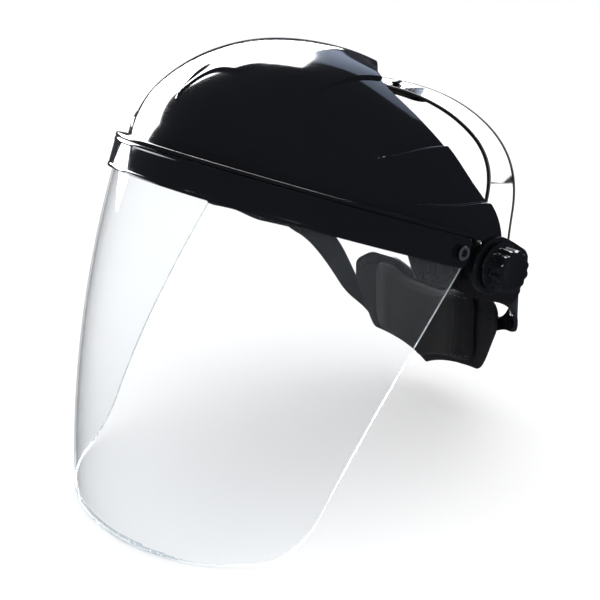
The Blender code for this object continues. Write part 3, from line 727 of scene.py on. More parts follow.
def arch_row(fan, count):
    """Arch angles across the dome, packed close together along the tier edges and the middle."""
    (low, high), steps = DOME_FEET, 700
    lines = tier_lines(fan)
    sums = [0.0]
    for k in range(steps):
        arch = low + (high - low) * (k + 0.5) / steps
        side = min(arch, 180 - arch)
        weight = 1.0 + sum(CREASE_PULL * exp(-((side - line) / CREASE_REACH) ** 2) for line in lines)
        weight += 2.5 * exp(-((90 - side) / 4) ** 2)
        sums.append(sums[-1] + weight)
    row, k = [], 0
    for i in range(count):
        goal = sums[-1] * i / (count - 1)
        while k < steps - 1 and sums[k + 1] < goal:
            k += 1
        place = k + (goal - sums[k]) / (sums[k + 1] - sums[k])
        row.append(radians(low + (high - low) * place / steps))
    return row


ARCH_COUNT, FAN_COUNT = 380, 190        # points of the dome's grid


def make_crown():
    """Dome shell with a round rear edge, and an ear with a bolt hole at each foot."""
    half = SHELL_THICKNESS / 2
    # share of the way to the rear edge, how far in, and how far short of the edge
    rows = [(share, 0.0, 0.0) for share in spread(0.0, 1.0, FAN_COUNT)]
    for turn in (22, 45, 66, 82):
        rows.append((1.0, half * (1 - cos(radians(turn))), half * (1 - sin(radians(turn)))))
    arch_rows = [arch_row(58 * share, ARCH_COUNT) for share, _, _ in rows]

    def grid(side):
        lines = []
        for (share, inset, short), arches in zip(rows, arch_rows):
            line = []
            for arch in arches:
                edge = rear_edge_fan(arch)
                end = edge - half / dome_radius(edge)
                extra = (half - short) / dome_radius(end) if share == 1.0 and inset else 0.0
                depth = inset if side == "outer" else SHELL_THICKNESS - inset
                line.append(dome_surface(arch, share * end + extra, depth, side == "outer"))
            lines.append(line)
        return lines

    shell = sheet_solid("crown_shell_moulding", grid("outer"), grid("inner"))
    ears = [soft_slab(lambda inset: circle(EAR_RADIUS - inset, 72), EAR_INNER_X, EAR_OUTER_X, 0.0007,
                      along_x(sign)) for _, sign in SIDES]
    boolean(shell, loft("ears", *ears), "UNION")
    bore_for_bolts(shell, 0.095, 0.110)
    return dress(shell, GLOSS, "black_gloss", "crown", "crown_shell", angle=50)


def rim_sweep(section_at, angles):
    """Rings of a section that runs round the rim; section_at gives it at an angle."""
    return [[tilted(*rim_point(angle, offset, z)) for offset, z in section_at(angle)] for angle in angles]


def make_lip():
    """Ledge on top of the rim, and the wall that the window wraps round."""
    low, high = RIM_TOP - BAND_HEIGHT, RIM_TOP + LIP_THICKNESS
    step = RIM_TOP + GAP
    inner = -LIP_OUTER - LIP_THICKNESS
    section = rounded(((0, step), (0, high), (-LEDGE_WIDTH, high), (-LEDGE_WIDTH, step), (inner, step),
                       (inner, low), (-LIP_OUTER, low), (-LIP_OUTER, step)), RIM_ROUND, 3)
    lip = loft("crown_rim_flange", rim_sweep(lambda angle: section, rim_stations(0.003, 120)))
    bore_for_studs(lip)
    return dress(lip, GLOSS, "black_gloss", "crown", "crown_shell", angle=50)


def make_band():
    """Outer band with a fine bead along both edges, a shallow field between them and round ends."""
    def section_at(angle):
        inset = corner_inset(from_end(angle), 0.0034)
        low, high = RIM_TOP - BAND_HEIGHT + inset, RIM_TOP - inset
        return beaded_section(-BAND_THICKNESS, 0, low, high, 0.0016, 0.00030, RIM_ROUND)

    band = loft("window_band_moulding", rim_sweep(section_at, rim_stations(0.004, 150, 12)))
    bore_for_studs(band, 40)
    return dress(band, GLOSS, "black_gloss", "crown", "window_band", angle=32)


# ---- window ----
def window_depth(angle):
    """How far the window hangs below the band: less at the sides."""
    return WINDOW_DEPTH - WINDOW_SIDE_RISE * (1 - abs(sin(angle)) ** (2 / RIM_POWER))


def window_point(angle, share, offset):
    """A point a share of the way down the window, which curls in towards the chin."""
    drop = share * (WINDOW_HIDDEN + window_depth(angle))
    below = max(0.0, drop - WINDOW_HIDDEN)
    point = rim_point(angle, offset, WINDOW_TOP - drop)
    point.y += WINDOW_CURL * below * below * abs(sin(angle)) ** (2 / RIM_POWER)
    return tilted(*point)


def window_limit(share):
    """Rim angle of the window's rear edge, which slants forward and ends in a round corner."""
    angle = rim_angle(BAND_REAR)
    for _ in range(14):
        whole = window_depth(angle)
        depth = max(0.0, share * (WINDOW_HIDDEN + whole) - WINDOW_HIDDEN)
        y = BAND_REAR - WINDOW_TAPER * depth
        into_corner = min(WINDOW_CORNER, depth - (whole - WINDOW_CORNER))
        if into_corner > 0:
            y -= WINDOW_CORNER - sqrt(WINDOW_CORNER ** 2 - into_corner ** 2)
        angle = rim_angle(y)
    return angle


EDGE_FIT = 0.00012              # a cut-edge face has a side as long as the sheet is thick, to within this
EDGE_LONGEST = 0.012


def make_window():
    straight = 1 - WINDOW_CORNER / WINDOW_DEPTH
    shares = spread(0.0, straight, 44)
    shares += [1 - (1 - straight) * (1 - sin(radians(turn))) for turn in range(6, 91, 6)]
    grids = []
    for offset in (-BAND_THICKNESS - GAP, -BAND_THICKNESS - GAP - WINDOW_THICKNESS):
        rows = []
        for share in shares:
            start = window_limit(share)
            rows.append([window_point(a, share, offset) for a in spread(start, pi - start, 110)])
        grids.append(rows)
    window = sheet_solid("window_sheet", *grids)
    bore_for_studs(window)
    dress(window, CLEAR, "clear_sheet", "crown", "window", angle=40)
    window.data.materials.append(EDGE)
    points = window.data.vertices
    for face in window.data.polygons:
        lengths = [(points[a].co - points[b].co).length for a, b in face.edge_keys]
        if abs(min(lengths) - WINDOW_THICKNESS) < EDGE_FIT and max(lengths) < EDGE_LONGEST:
            face.material_index = 1


def make_band_studs():
    """Snap studs: a bright ring round a dark sunk centre."""
    edge = RIM_HALF_WIDTH - 0.0004
    sunk_radius, sunk_depth = 0.00205, 0.0019
    for side, sign in SIDES:
        profile = raised(edge, (0.0019, -LIP_OUTER - LIP_THICKNESS - 0.0025), (0.0019, 0.0008),
                         (0.0034, 0.0008), (0.0036, 0.0011), (0.0036, 0.0014), (0.0033, 0.0019),
                         (0.0029, 0.0021), (0.0024, 0.0020), (0.0019, 0.0016), (0.0017, 0.0004),
                         (0.0006, 0.0001))
        stud = loft(side + "_band_snap_stud", turned_rings(profile, along_x(sign, STUD_Y, STUD_Z)))
        dress(stud, STUD, "bright_stud", "crown", side + "_band_stud")
        stud.data.materials.append(GLOSS)
        centre = tilted(sign * edge, STUD_Y, STUD_Z)
        for face in stud.data.polygons:
            reach = max((stud.data.vertices[v].co - centre).length for v in face.vertices)
            if reach < sunk_radius and abs((face.center - centre).x) < sunk_depth:
                face.material_index = 1


# ---- headgear ----
def head_path(y_end, count, straight_count=16):
    """(point, outward) from the left rear end of the headband, round the brow, to the right one."""
    centre = -0.012
    straight = spread(y_end, centre, straight_count)[:-1]
    left = [(Vector((HEAD_HALF_WIDTH, y, 0)), Vector((1, 0, 0))) for y in straight]
    front = []
    for angle in spread(0.0, pi, count):
        reach = HEAD_REACH + centre
        point = Vector((HEAD_HALF_WIDTH * cos(angle), centre - reach * sin(angle), 0))
        outward = Vector((reach * cos(angle), -HEAD_HALF_WIDTH * sin(angle), 0)).normalized()
        front.append((point, outward))
    right = [(Vector((-p.x, p.y, 0)), Vector((-1, 0, 0))) for p, _ in reversed(left)]
    return left + front + right


def headband_edges(y):
    """Lower and upper edge of the headband, which widens into the temple plates."""
    lower = BROW_LOW - 0.0145 * smooth_step(y, -0.046, -0.032) - 0.0030 * smooth_step(y, -0.015, 0.010)
    upper = BROW_HIGH - 0.0075 * smooth_step(y, -0.045, 0.006) - 0.0040 * smooth_step(y, 0.016, 0.044)
    return lower, upper


HEADBAND_END = 0.042


def headband_spot(point, outward, depth, height):
    """A place at a depth and a height from a point of head_path."""
    return tilted(*(point + outward * depth + Vector((0, 0, height))))


def make_headband():
    rings = []
    for point, outward in head_path(HEADBAND_END, 90, 30):
        lower, upper = headband_edges(point.y)
        inset = corner_inset(HEADBAND_END - point.y, 0.007)
        section = beaded_section(-HEAD_THICKNESS, 0.0, lower + inset, upper - inset)
        rings.append([headband_spot(point, outward, *spot) for spot in section])
    band = loft("headband_moulding", rings)
    bore_for_bolts(band, 0.080, 0.095)
    return dress(band, SATIN, "black_satin", "headgear", "headband")


STRAP_STRAIGHT = 0.22           # share of the strap's run that is straight
PEG_X = 0.008


def strap_arch(share):
    """(point, outward) on the strap's outer face, from the foot (0) to the top of the head (1)."""
    foot, shoulder = -0.010, 0.018
    x0 = STRAP_EYE_X + STRAP_THICKNESS
    if share < STRAP_STRAIGHT:
        return Vector((x0, 0, foot + (shoulder - foot) * share / STRAP_STRAIGHT)), Vector((1, 0, 0))
    angle = (share - STRAP_STRAIGHT) / (1 - STRAP_STRAIGHT) * pi / 2
    rise = STRAP_TOP - shoulder
    across, up = cos(angle) ** (2 / STRAP_POWER), sin(angle) ** (2 / STRAP_POWER)
    point = Vector((x0 * across, 0, shoulder + rise * up))
    slope = Vector((across ** (STRAP_POWER - 1) / x0, 0, up ** (STRAP_POWER - 1) / rise))
    return point, slope.normalized()


def make_crown_straps():
    """Two half straps that overlap on top of the head, the right one under the left."""
    lifts = {"left": 0.0, "right": -STRAP_THICKNESS - GAP}
    share_end = 1.16
    straps = []
    for side, sign in SIDES:
        rings = []
        for share in spread(0.0, share_end, 130):
            point, outward = strap_arch(min(share, 2.0 - share))
            if share > 1.0:
                point.x, outward.x = -point.x, -outward.x
            point = point + outward * lifts[side] * smooth_step(share, 0.60, 0.80)
            flare = 1 - smooth_step(point.z, -0.006, 0.058)
            half = STRAP_WIDTH / 2 + 0.0070 * flare
            middle = STRAP_Y - 0.0150 * flare
            half -= corner_inset(share * 0.127, 0.0085) + corner_inset((share_end - share) * 0.135, 0.0060)
            low, high = middle - half, middle + half
            section = beaded_section(-STRAP_THICKNESS, 0.0, low, high, 0.0013, 0.00030, 0.00045)
            ring = []
            for depth, y in section:
                spot = point + outward * depth
                ring.append((sign * spot.x, y, spot.z))
            rings.append(ring)
        # the beads take the non-mirroring black: painted dark outlines along both edges of each strap
        strap = loft(side + "_crown_strap_moulding", rings, painted=BEADS, mats=(GLOSS, DARK_OUTLINE_MATTE))
        holes = [tube(0.0023, 0.055, 0.085, along_z(x, STRAP_Y), 32) for x in (-PEG_X, PEG_X)]
        eye = [[(sign * x, u, v) for u, v in circle(BOLT_HOLE, 40)] for x in (0.080, 0.100)]
        boolean(strap, loft("holes", *holes, eye))
        straps.append(dress(strap, GLOSS, "black_gloss", "headgear", side + "_crown_strap"))
    return straps


def make_strap_pegs():
    """Push pegs through both straps."""
    sag = 0.0007
    seat = STRAP_TOP - 2 * STRAP_THICKNESS - GAP - sag
    profile = raised(seat, (0.0028, -0.0012), (0.0034, -0.0008), (0.0034, 0), (0.0020, 0))
    profile += raised(STRAP_TOP + GAP, (0.0020, 0), (0.0031, 0), (0.0033, 0.0003), (0.0031, 0.0007),
                      (0.0025, 0.0010), (0.0015, 0.00125), (0.0007, 0.0013))
    for side, sign in SIDES:
        peg = loft(side + "_strap_push_peg", turned_rings(profile, along_z(sign * PEG_X, STRAP_Y), 48))
        dress(peg, SATIN, "black_satin", "headgear", side + "_strap_peg")


# ---- tilt pivots ----
def make_pivot_bolt(side, out):
    head = HEAD_HALF_WIDTH - HEAD_THICKNESS - GAP
    profile = raised(head, (0.0012, -0.0018), (0.0040, -0.0017), (0.0060, -0.0012), (0.0068, -0.0006),
                     (0.0070, 0), (BOLT_RADIUS, 0))
    profile += raised(KNOB_OUTER_X, (BOLT_RADIUS, -0.0045), (BOLT_RADIUS - 0.0005, -0.0040))
    bolt = loft(side + "_pivot_carriage_bolt", turned_rings(profile, out))
    dress(bolt, STEEL, "zinc_steel", "headgear", side + "_pivot_bolt")


def make_pivot_bush(side, out):
    """Bush with a groove round its middle."""
    end = EAR_INNER_X - GAP
    profile = raised(SPACER_X, (0.0100, 0), (0.0106, 0.0003), (0.0110, 0.0010))
    profile += raised((SPACER_X + end) / 2, (0.0110, -0.0006), (0.0104, 0), (0.0110, 0.0006))
    profile += raised(end, (0.0110, -0.0004), (0.0107, 0))
    bush = loft(side + "_pivot_bush", turned_rings(profile, out))
    bore(bush, BOLT_HOLE, 0.085, 0.105, out)
    dress(bush, SATIN, "grey_nylon", "headgear", side + "_pivot_spacer")


def make_pivot_washer(side, out):
    profile = raised(WASHER_X, (0.0081, 0), (0.0085, 0.0002), (0.0085, 0.0006), (0.0081, WASHER_THICKNESS))
    washer = loft(side + "_wave_washer", turned_rings(profile, out))
    bore(washer, BOLT_HOLE, 0.100, 0.108, out)
    dress(washer, STEEL, "zinc_steel", "headgear", side + "_spring_washer")


def make_insert_nut(side, out):
    radius, start = 0.0046, KNOB_INNER_X + 0.0006

    def hexagon(inset):
        reach = radius - inset
        return rounded([(reach * cos(pi / 3 * k), reach * sin(pi / 3 * k)) for k in range(6)], 0.0004, 3)

    nut = loft(side + "_insert_nut", soft_slab(hexagon, start, start + 0.0060, 0.0003, out))
    bore(nut, BOLT_HOLE, 0.100, 0.115, out)
    dress(nut, BRASS, "brass", side + "_knob", side + "_knob_nut")


def make_tension_knob(side, out):
    """Grip with twelve flutes, a plain collar and a sunk disc in its flat face."""
    start, face, collar, radius, edge = KNOB_INNER_X, KNOB_OUTER_X, 0.0122, 0.0106, 0.0012
    # stations of (radius, flute depth, distance out)
    stations = raised(start, (collar - 0.0004, 0, 0), (collar, 0, 0.0004), (collar, 0, 0.0013),
                      (collar - 0.0004, 0, 0.0017), (radius + 0.0004, 0.0011, 0.0019))
    stations += [(radius, 0.0012, x) for x in spread(start + 0.0023, face - edge, 6)]
    stations += [(radius - edge * (1 - cos(a)), 0.0012 - 0.0002 * sin(a), face - edge * (1 - sin(a)))
                 for a in EDGE_TURNS]
    stations += raised(face, (0.0072, 0, 0), (0.0069, 0, -0.0002), (0.0067, 0, -0.0007),
                       (0.0064, 0, -0.0009), (0.0020, 0, -0.0008))
    rings = extruded_rings([(lobes(r, d, 12), x) for r, d, x in stations], out)
    knob = loft(side + "_tension_knob_grip", rings)
    bore(knob, 0.0050, start - 0.002, face - 0.0034, out, count=48)
    return dress(knob, GLOSS, "black_gloss", side + "_knob", side + "_tension_knob")


# ---- nape unit ----
def nape_edges(x):
    """Lower and upper edge of the nape plate: a tongue below the middle and a dip above it."""
    out = abs(x)
    low = NAPE_Z - 0.0155 - 0.0115 * exp(-out / 0.020) + 0.0290 * smooth_step(out, 0.042, 0.061)
    high = NAPE_Z + 0.0275 + 0.0045 * smooth_step(out, 0.010, 0.030)
    high -= 0.0080 * smooth_step(out, 0.044, 0.062)
    return low, high


def nape_curve(x):
    """How far back the nape plate's inner face lies."""
    return 0.020 + (NAPE_Y - 0.020) * (1 - (abs(x) / 0.088) ** 2.8) ** (1 / 2.8)


def tray_outline(inset):
    return rounded_box(TRAY_HALF_WIDTH - inset, NAPE_HALF_HEIGHT - inset, TRAY_CORNER - inset)


def make_nape_housing():
    """Curved plate with the ratchet's tray on its back, two screw posts and a slot for each rack."""
    rings = []
    ends = [NAPE_HALF_WIDTH - 0.004 * (1 - sin(pi / 2 * k / 8)) for k in range(9)]
    stations = [-x for x in reversed(ends)] + spread(-0.053, 0.053, 90) + ends
    for x in stations:
        low, high = nape_edges(x)
        inset = corner_inset(NAPE_HALF_WIDTH - abs(x), 0.0035)
        y = nape_curve(x)
        section = beaded_section(0.0, NAPE_THICKNESS, low + inset, high - inset, sunk=0.0003)
        rings.append([(x, y + depth, z) for depth, z in section])
    housing = loft("nape_housing_moulding", rings)
    rim_y = NAPE_Y + TRAY_DEPTH
    tray = soft_slab(tray_outline, NAPE_Y + 0.0006, rim_y, 0.0004, along_y())
    boolean(housing, loft("tray", tray), "UNION")
    pocket = [(tray_outline(0.0020), NAPE_Y + 0.0024), (tray_outline(0.0020), rim_y + 0.002)]
    boolean(housing, loft("pocket", extruded_rings(pocket, along_y())))
    posts = [tube(0.0033, NAPE_Y + 0.0010, rim_y - 0.0002, along_y(sign * SCREW_X)) for _, sign in SIDES]
    boolean(housing, loft("posts", *posts), "UNION")
    cutters = []
    for _, sign in SIDES:
        cutters.append(tube(0.0014, NAPE_Y + 0.0030, rim_y + 0.001, along_y(sign * SCREW_X), 28))
        outline = [(sign * 0.049 + 0.021 * u, sign * RACK_CENTRE + 0.0053 * v)
                   for u, v in rounded(((-1, -1), (1, -1), (1, 1), (-1, 1)), 0.1, 2)]
        slot = [(outline, RACK_Y - 0.0005), (outline, RACK_Y + RACK_THICKNESS + 0.0005)]
        cutters.append(extruded_rings(slot, along_y()))
    boolean(housing, loft("cutters", *cutters))
    return dress(housing, SATIN, "black_satin", "headgear", "nape_housing")


def make_nape_cover():
    """Cover plate with an opening for the knob's shaft and two screw holes."""
    slab = soft_slab(tray_outline, COVER_Y, COVER_Y + COVER_THICKNESS, 0.0009, along_y())
    cover = loft("nape_cover_plate", slab)
    holes = [tube(0.0018, 0.060, 0.075, along_y(sign * SCREW_X), 32) for _, sign in SIDES]
    boolean(cover, loft("holes", tube(0.0080, 0.050, 0.080, along_y(), 64), *holes))
    return dress(cover, SATIN, "black_satin", "headgear", "nape_cover")


def make_screw(side, sign):
    """Pan-head screw with a cross slot."""
    seat = COVER_Y + COVER_THICKNESS + GAP
    profile = raised(seat, (0.0011, -0.0065), (0.0011, 0), (0.0029, 0), (0.0030, 0.0004),
                     (0.0028, 0.0010), (0.0022, 0.0014), (0.0012, 0.00165), (0.0004, 0.0017))
    screw = loft(side + "_nape_pan_screw", turned_rings(profile, along_y(sign * SCREW_X), 48))
    for half_u, half_v in ((0.0016, 0.0003), (0.0003, 0.0016)):
        box = [(-half_u, -half_v), (half_u, -half_v), (half_u, half_v), (-half_u, half_v)]
        slot = extruded_rings([(box, seat + 0.0008), (box, seat + 0.0030)], along_y(sign * SCREW_X))
        boolean(screw, loft("slot", slot))
    dress(screw, STEEL, "zinc_steel", "headgear", side + "_nape_screw")


def make_ratchet_knob():
    """Knob with ten flutes that taper, and a sunk disc in its flat face."""
    start, radius, edge = RATCHET_KNOB_Y, RATCHET_KNOB_RADIUS, 0.0020
    # stations of (radius, flute depth, distance back)
    stations = raised(start, (radius - 0.0005, 0, 0), (radius, 0, 0.0005), (radius, 0, 0.0016),
                      (radius - 0.0004, 0.0004, 0.0022), (radius - 0.0010, 0.0020, 0.0030))
    for t in (0.25, 0.5, 0.75, 1.0):
        stations.append((radius - 0.0010 - 0.0010 * t, 0.0022, start + 0.0030 + 0.0085 * t))
    for a in EDGE_TURNS:
        stations.append((radius - edge - edge * (1 - cos(a)), 0.0022 - 0.0006 * sin(a),
                         start + 0.0115 + edge * sin(a)))
    stations += raised(start + RATCHET_KNOB_DEPTH, (0.0118, 0, 0), (0.0114, 0, -0.0003),
                       (0.0110, 0, -0.0009), (0.0100, 0, -0.0011), (0.0030, 0, -0.0009))
    rings = extruded_rings([(lobes(r, d, 10, 12), y) for r, d, y in stations], along_y())
    knob = loft("ratchet_knob_grip", rings)
    bore(knob, 0.0042, start - 0.002, start + 0.0100, along_y(), count=48)
    dress(knob, GLOSS, "black_gloss", "ratchet", "ratchet_knob")


def make_ratchet_pinion():
    """Gear between the two racks, on the shaft that the knob sits on."""
    teeth = []
    for k in range(PINION_TEETH * 12):
        angle = 2 * pi * k / (PINION_TEETH * 12)
        reach = PITCH_RADIUS - 0.0002 + 0.0007 * cos(PINION_TEETH * (angle - pi / 2))
        teeth.append((reach * cos(angle), reach * sin(angle)))
    gear = extruded_rings([(teeth, NAPE_Y + 0.0027), (teeth, RACK_Y + RACK_THICKNESS + 0.0003)], along_y())
    pinion = loft("ratchet_pinion_gear", gear)
    end = RATCHET_KNOB_Y + 0.0095
    shaft = turned_rings(((0.0038, RACK_Y), (0.0038, end - 0.0004), (0.0034, end)), along_y(), 48)
    boolean(pinion, loft("shaft", shaft), "UNION")
    dress(pinion, NYLON, "grey_nylon", "ratchet", "ratchet_pinion")


def make_ratchet_spring():
    """Click spring: a thin ring on the shaft, over the racks."""
    face = RACK_Y + RACK_THICKNESS + 0.0008
    profile = raised(face, (0.0074, 0), (0.0076, 0.0002), (0.0076, 0.0004), (0.0074, 0.0006))
    spring = loft("ratchet_click_spring", turned_rings(profile, along_y()))
    bore(spring, 0.0043, 0.055, 0.070, along_y(), count=48)
    dress(spring, STEEL, "zinc_steel", "headgear", "ratchet_spring")


def rack_outline(sign):
    """Toothed bar, drawn for the left side and turned half round for the right."""
    pitch = 2 * pi * PITCH_RADIUS / PINION_TEETH
    tip, root = -0.020, 0.050
    steps = int((0.030 - tip) / pitch * 10)
    points = []
    for k in range(steps + 1):
        x = tip + pitch * k / 10
        points.append((x, PITCH_RADIUS + 0.0012 + 0.0006 * cos(2 * pi * x / pitch)))
    points += [(root, RACK_INNER + 0.0006), (root, RACK_INNER + RACK_HEIGHT), (tip, RACK_INNER + RACK_HEIGHT)]
    return [(sign * x, sign * z) for x, z in points]


REAR_STRAP_Z = -0.0160          # height of the rear straps' front ends
REAR_STRAP_X = (0.0460, 0.0860)     # from the rack's end to the temple
REAR_STRAP_RUN = 0.0460         # how far forward the strap runs


def make_rear_straps():
    """Straps from the temples to the racks, in one fixed shape; on the real shield they bend as the racks
    slide.
    """
    rack_end, temple_x = REAR_STRAP_X
    for side, sign in SIDES:
        rings = []
        for t in spread(0.0, 1.0, 90):
            angle = pi / 2 * t
            x = rack_end + (temple_x - rack_end) * sin(angle) ** (2 / REAR_STRAP_POWER)
            y = RACK_Y + RACK_THICKNESS - REAR_STRAP_RUN * (1 - cos(angle) ** (2 / REAR_STRAP_POWER))
            outward = Vector((sign * max(sin(angle), 0.0), cos(angle), 0)).normalized()
            start_z = NAPE_Z + sign * RACK_CENTRE
            z = start_z + (REAR_STRAP_Z - start_z) * (0.25 * t + 0.75 * smooth_step(t, 0.0, 1.0))
            half = RACK_HEIGHT / 2 - 0.0004 + 0.0090 * smooth_step(t, 0.12, 0.45)
            half -= corner_inset((1 - t) * 0.062, 0.008)
            point = Vector((sign * x, y, z))
            section = beaded_section(-RACK_THICKNESS, 0.0, -half, half, 0.0014, 0.0003, 0.00045)
            rings.append([point + outward * depth + Vector((0, 0, height)) for depth, height in section])
        strap = loft(side + "_rear_strap_moulding", rings)
        outline = rack_outline(sign)
        rack = [(outline, RACK_Y + 0.0001), (outline, RACK_Y + RACK_THICKNESS)]
        boolean(strap, loft("rack", extruded_rings(rack, along_y())), "UNION")
        dress(strap, GLOSS, "black_satin", None, side + "_rear_strap")
        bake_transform(strap)


# ---- soft pads ----
PAD_VOXEL = 0.0018
PAD_SWELL = 0.0012              # most that any point of a pad may move
PAD_PRESSURE = 4
PAD_FRAMES = 20
PAD_ROUND = 0.0022
PAD_THIN = 0.0024               # thickness at a pad's ends
STITCH_STEP = 0.0033


def puff(item):
    """Swells a closed pad as filled cloth and leaves the result on the mesh."""
    mod = item.modifiers.new("remesh", "REMESH")
    mod.mode = "VOXEL"
    mod.voxel_size = PAD_VOXEL
    bake(item)
    rest = [v.co.copy() for v in item.data.vertices]
    sim = item.modifiers.new("cloth", "CLOTH")
    sim.settings.use_pressure = True
    sim.settings.uniform_pressure_force = PAD_PRESSURE
    sim.settings.effector_weights.gravity = 0
    sim.point_cache.frame_start, sim.point_cache.frame_end = 1, PAD_FRAMES
    for number in range(1, PAD_FRAMES + 1):
        bpy.context.scene.frame_set(number)
    bake(item)
    bpy.context.scene.frame_set(1)
    for vertex, home in zip(item.data.vertices, rest):
        shift = vertex.co - home
        if shift.length > PAD_SWELL:
            vertex.co = home + shift.normalized() * PAD_SWELL
    mod = item.modifiers.new("subdivide", "SUBSURF")
    mod.levels = mod.render_levels = 1
    return bake(item)


def stitch_row(bm, places, length=0.0021, radius=0.00032):
    """Stitches as short round-ended threads; each place is (point, direction along the seam)."""
    aslant = Vector((0.31, 0.52, 0.79))     # a direction that no seam runs along
    for point, along in places:
        side = along.cross(aslant).normalized()
        up = along.cross(side).normalized()
        rings = []
        for k in range(7):
            angle = pi * (k + 0.5) / 7
            reach, width = -cos(angle) * length / 2, sin(angle) * radius
            rings.append([point + along * reach + (side * cos(a) + up * sin(a)) * width
                          for a in (pi / 3 * i for i in range(6))])
        loft_into(bm, rings)


def seam_of(places, step):
    """Evenly spaced (point, direction) along a run of points."""
    out, carried = [], 0.0
    for first, second in zip(places, places[1:]):
        gap = (second - first).length
        while carried < gap:
            out.append((first.lerp(second, carried / gap), (second - first).normalized()))
            carried += step
        carried -= gap
    return out


def make_brow_pad():
    """Sweatband inside the front of the headband, with a row of stitches along both edges."""
    middle, half = (BROW_LOW + BROW_HIGH) / 2, (BROW_HIGH - BROW_LOW) / 2 + 0.0012
    rings, seams = [], ([], [])
    path = [(p, o) for p, o in head_path(0.0, 90) if p.y <= -0.040]
    for number, (point, outward) in enumerate(path):
        ends = smooth_step(-point.y, 0.038, 0.055)
        thick = PAD_THIN + 0.0030 * ends
        inner, outer = -HEAD_THICKNESS - GAP - thick, -HEAD_THICKNESS - GAP
        tall = half - corner_inset(min(number, len(path) - 1 - number) * 0.0019, 0.006)
        section = rounded(((inner, middle - tall), (outer, middle - tall), (outer, middle + tall),
                           (inner, middle + tall)), PAD_ROUND, 3)
        rings.append([headband_spot(point, outward, *spot) for spot in section])
        if 2 < number < len(path) - 3:
            for run, height in zip(seams, (middle - tall + 0.0030, middle + tall - 0.0030)):
                run.append(headband_spot(point, outward, inner + 0.0001, height))
    pad = puff(loft("brow_sweatband", rings))
    dress(pad, FOAM, "foam_cloth", "headgear", "brow_pad", angle=80)
    sew("brow_stitching", pad, seams)


def make_nape_pad():
    """Cushion inside the nape plate, with a row of stitches along both edges."""
    rings, seams = [], ([], [])
    width = 0.0415
    for x in spread(-width, width, 50):
        low, high = nape_edges(x)
        ends = 1 - smooth_step(abs(x), 0.030, 0.041)
        thick = PAD_THIN + 0.0026 * ends
        inset = 0.0033 + corner_inset(width - abs(x), 0.007)
        low, high = low + inset, high - inset
        y = nape_curve(x) - GAP
        section = rounded(((0.0, low), (0.0, high), (-thick, high), (-thick, low)), PAD_ROUND, 3)
        rings.append([(x, y + depth, z) for depth, z in section])
        if abs(x) < width - 0.004:
            for run, height in zip(seams, (low + 0.0035, high - 0.0035)):
                run.append(Vector((x, y - thick - 0.0001, height)))
    pad = puff(loft("nape_cushion", rings))
    dress(pad, FOAM, "foam_cloth", "headgear", "nape_pad", angle=80)
    sew("nape_stitching", pad, seams)


def sew(name, pad, seams):
    """Rows of stitches laid on a pad's surface."""
    bm = bmesh.new()
    for run in seams:
        settled = []
        for point, along in seam_of(run, STITCH_STEP):
            found, spot, _, _ = pad.closest_point_on_mesh(point)
            settled.append((spot if found else point, along))
        stitch_row(bm, settled)
    stitches = dress(add_object(name, bm), THREAD, "foam_cloth", None, angle=80)
    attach(stitches, "headgear")


# ---- stage ----
VIEW_AZIMUTH = radians(48.497)
VIEW_ELEVATION = radians(16.990)
VIEW_DISTANCE = 0.65674
FOCAL_LENGTHS = 2.0083          # focal length over sensor width
VIEW_SHIFT = (-0.0910, -0.1344)
SENSOR_WIDTH = 36


def make_camera():
    """Camera at the photograph's viewing angle and distance, with a longer lens."""
    back = Vector((sin(VIEW_AZIMUTH) * cos(VIEW_ELEVATION), -cos(VIEW_AZIMUTH) * cos(VIEW_ELEVATION),
                   sin(VIEW_ELEVATION)))
    lens = bpy.data.cameras.new("camera")
    camera = bpy.data.objects.new("camera", lens)
    bpy.context.scene.collection.objects.link(camera)
    camera.rotation_mode = "QUATERNION"
    camera.rotation_quaternion = back.to_track_quat("Z", "Y")
    camera.location = PIVOT + back * VIEW_DISTANCE
    lens.sensor_width = SENSOR_WIDTH
    lens.lens = SENSOR_WIDTH * FOCAL_LENGTHS
    lens.shift_x, lens.shift_y = VIEW_SHIFT
    bpy.context.scene.camera = camera


def area_light(name, place, towards, width, height, radiance, colour=(1, 1, 1), diffuse=False, only=()):
    """A softbox of a given radiance; without diffuse it shows only as a reflection."""
    data = bpy.data.lights.new(name, "AREA")
    data.shape = "RECTANGLE"
    data.size, data.size_y = width, height
    data.energy = radiance * pi * width * height
    data.color = colour
    item = bpy.data.objects.new(name, data)
    bpy.context.scene.collection.objects.link(item)
    item.location = PIVOT + Vector(place)
    item.rotation_mode = "QUATERNION"
    item.rotation_quaternion = (PIVOT + Vector(towards) - item.location).to_track_quat("-Z", "Y")
    item.visible_camera = False
    item.visible_diffuse = diffuse
    item.visible_glossy = not diffuse
    if only:
        group = bpy.data.collections.new(name + "_receivers")
        for receiver in only:
            group.objects.link(receiver)
        item.light_linking.receiver_collection = group


SOFTBOX_DISTANCE = 1.2
SOFTBOX_RADIANCE = 15.0
# its outline, along Y and Z in distances from the object
SOFTBOX_CORNERS = ((-0.40, 0.0), (-0.60, 0.38), (-0.10, 0.82), (0.12, 1.0), (0.50, 1.45), (1.05, 2.1),
                   (1.05, 0.28), (0.48, 0.28), (0.36, 0.19), (0.29, 0.07), (0.10, 0.0))


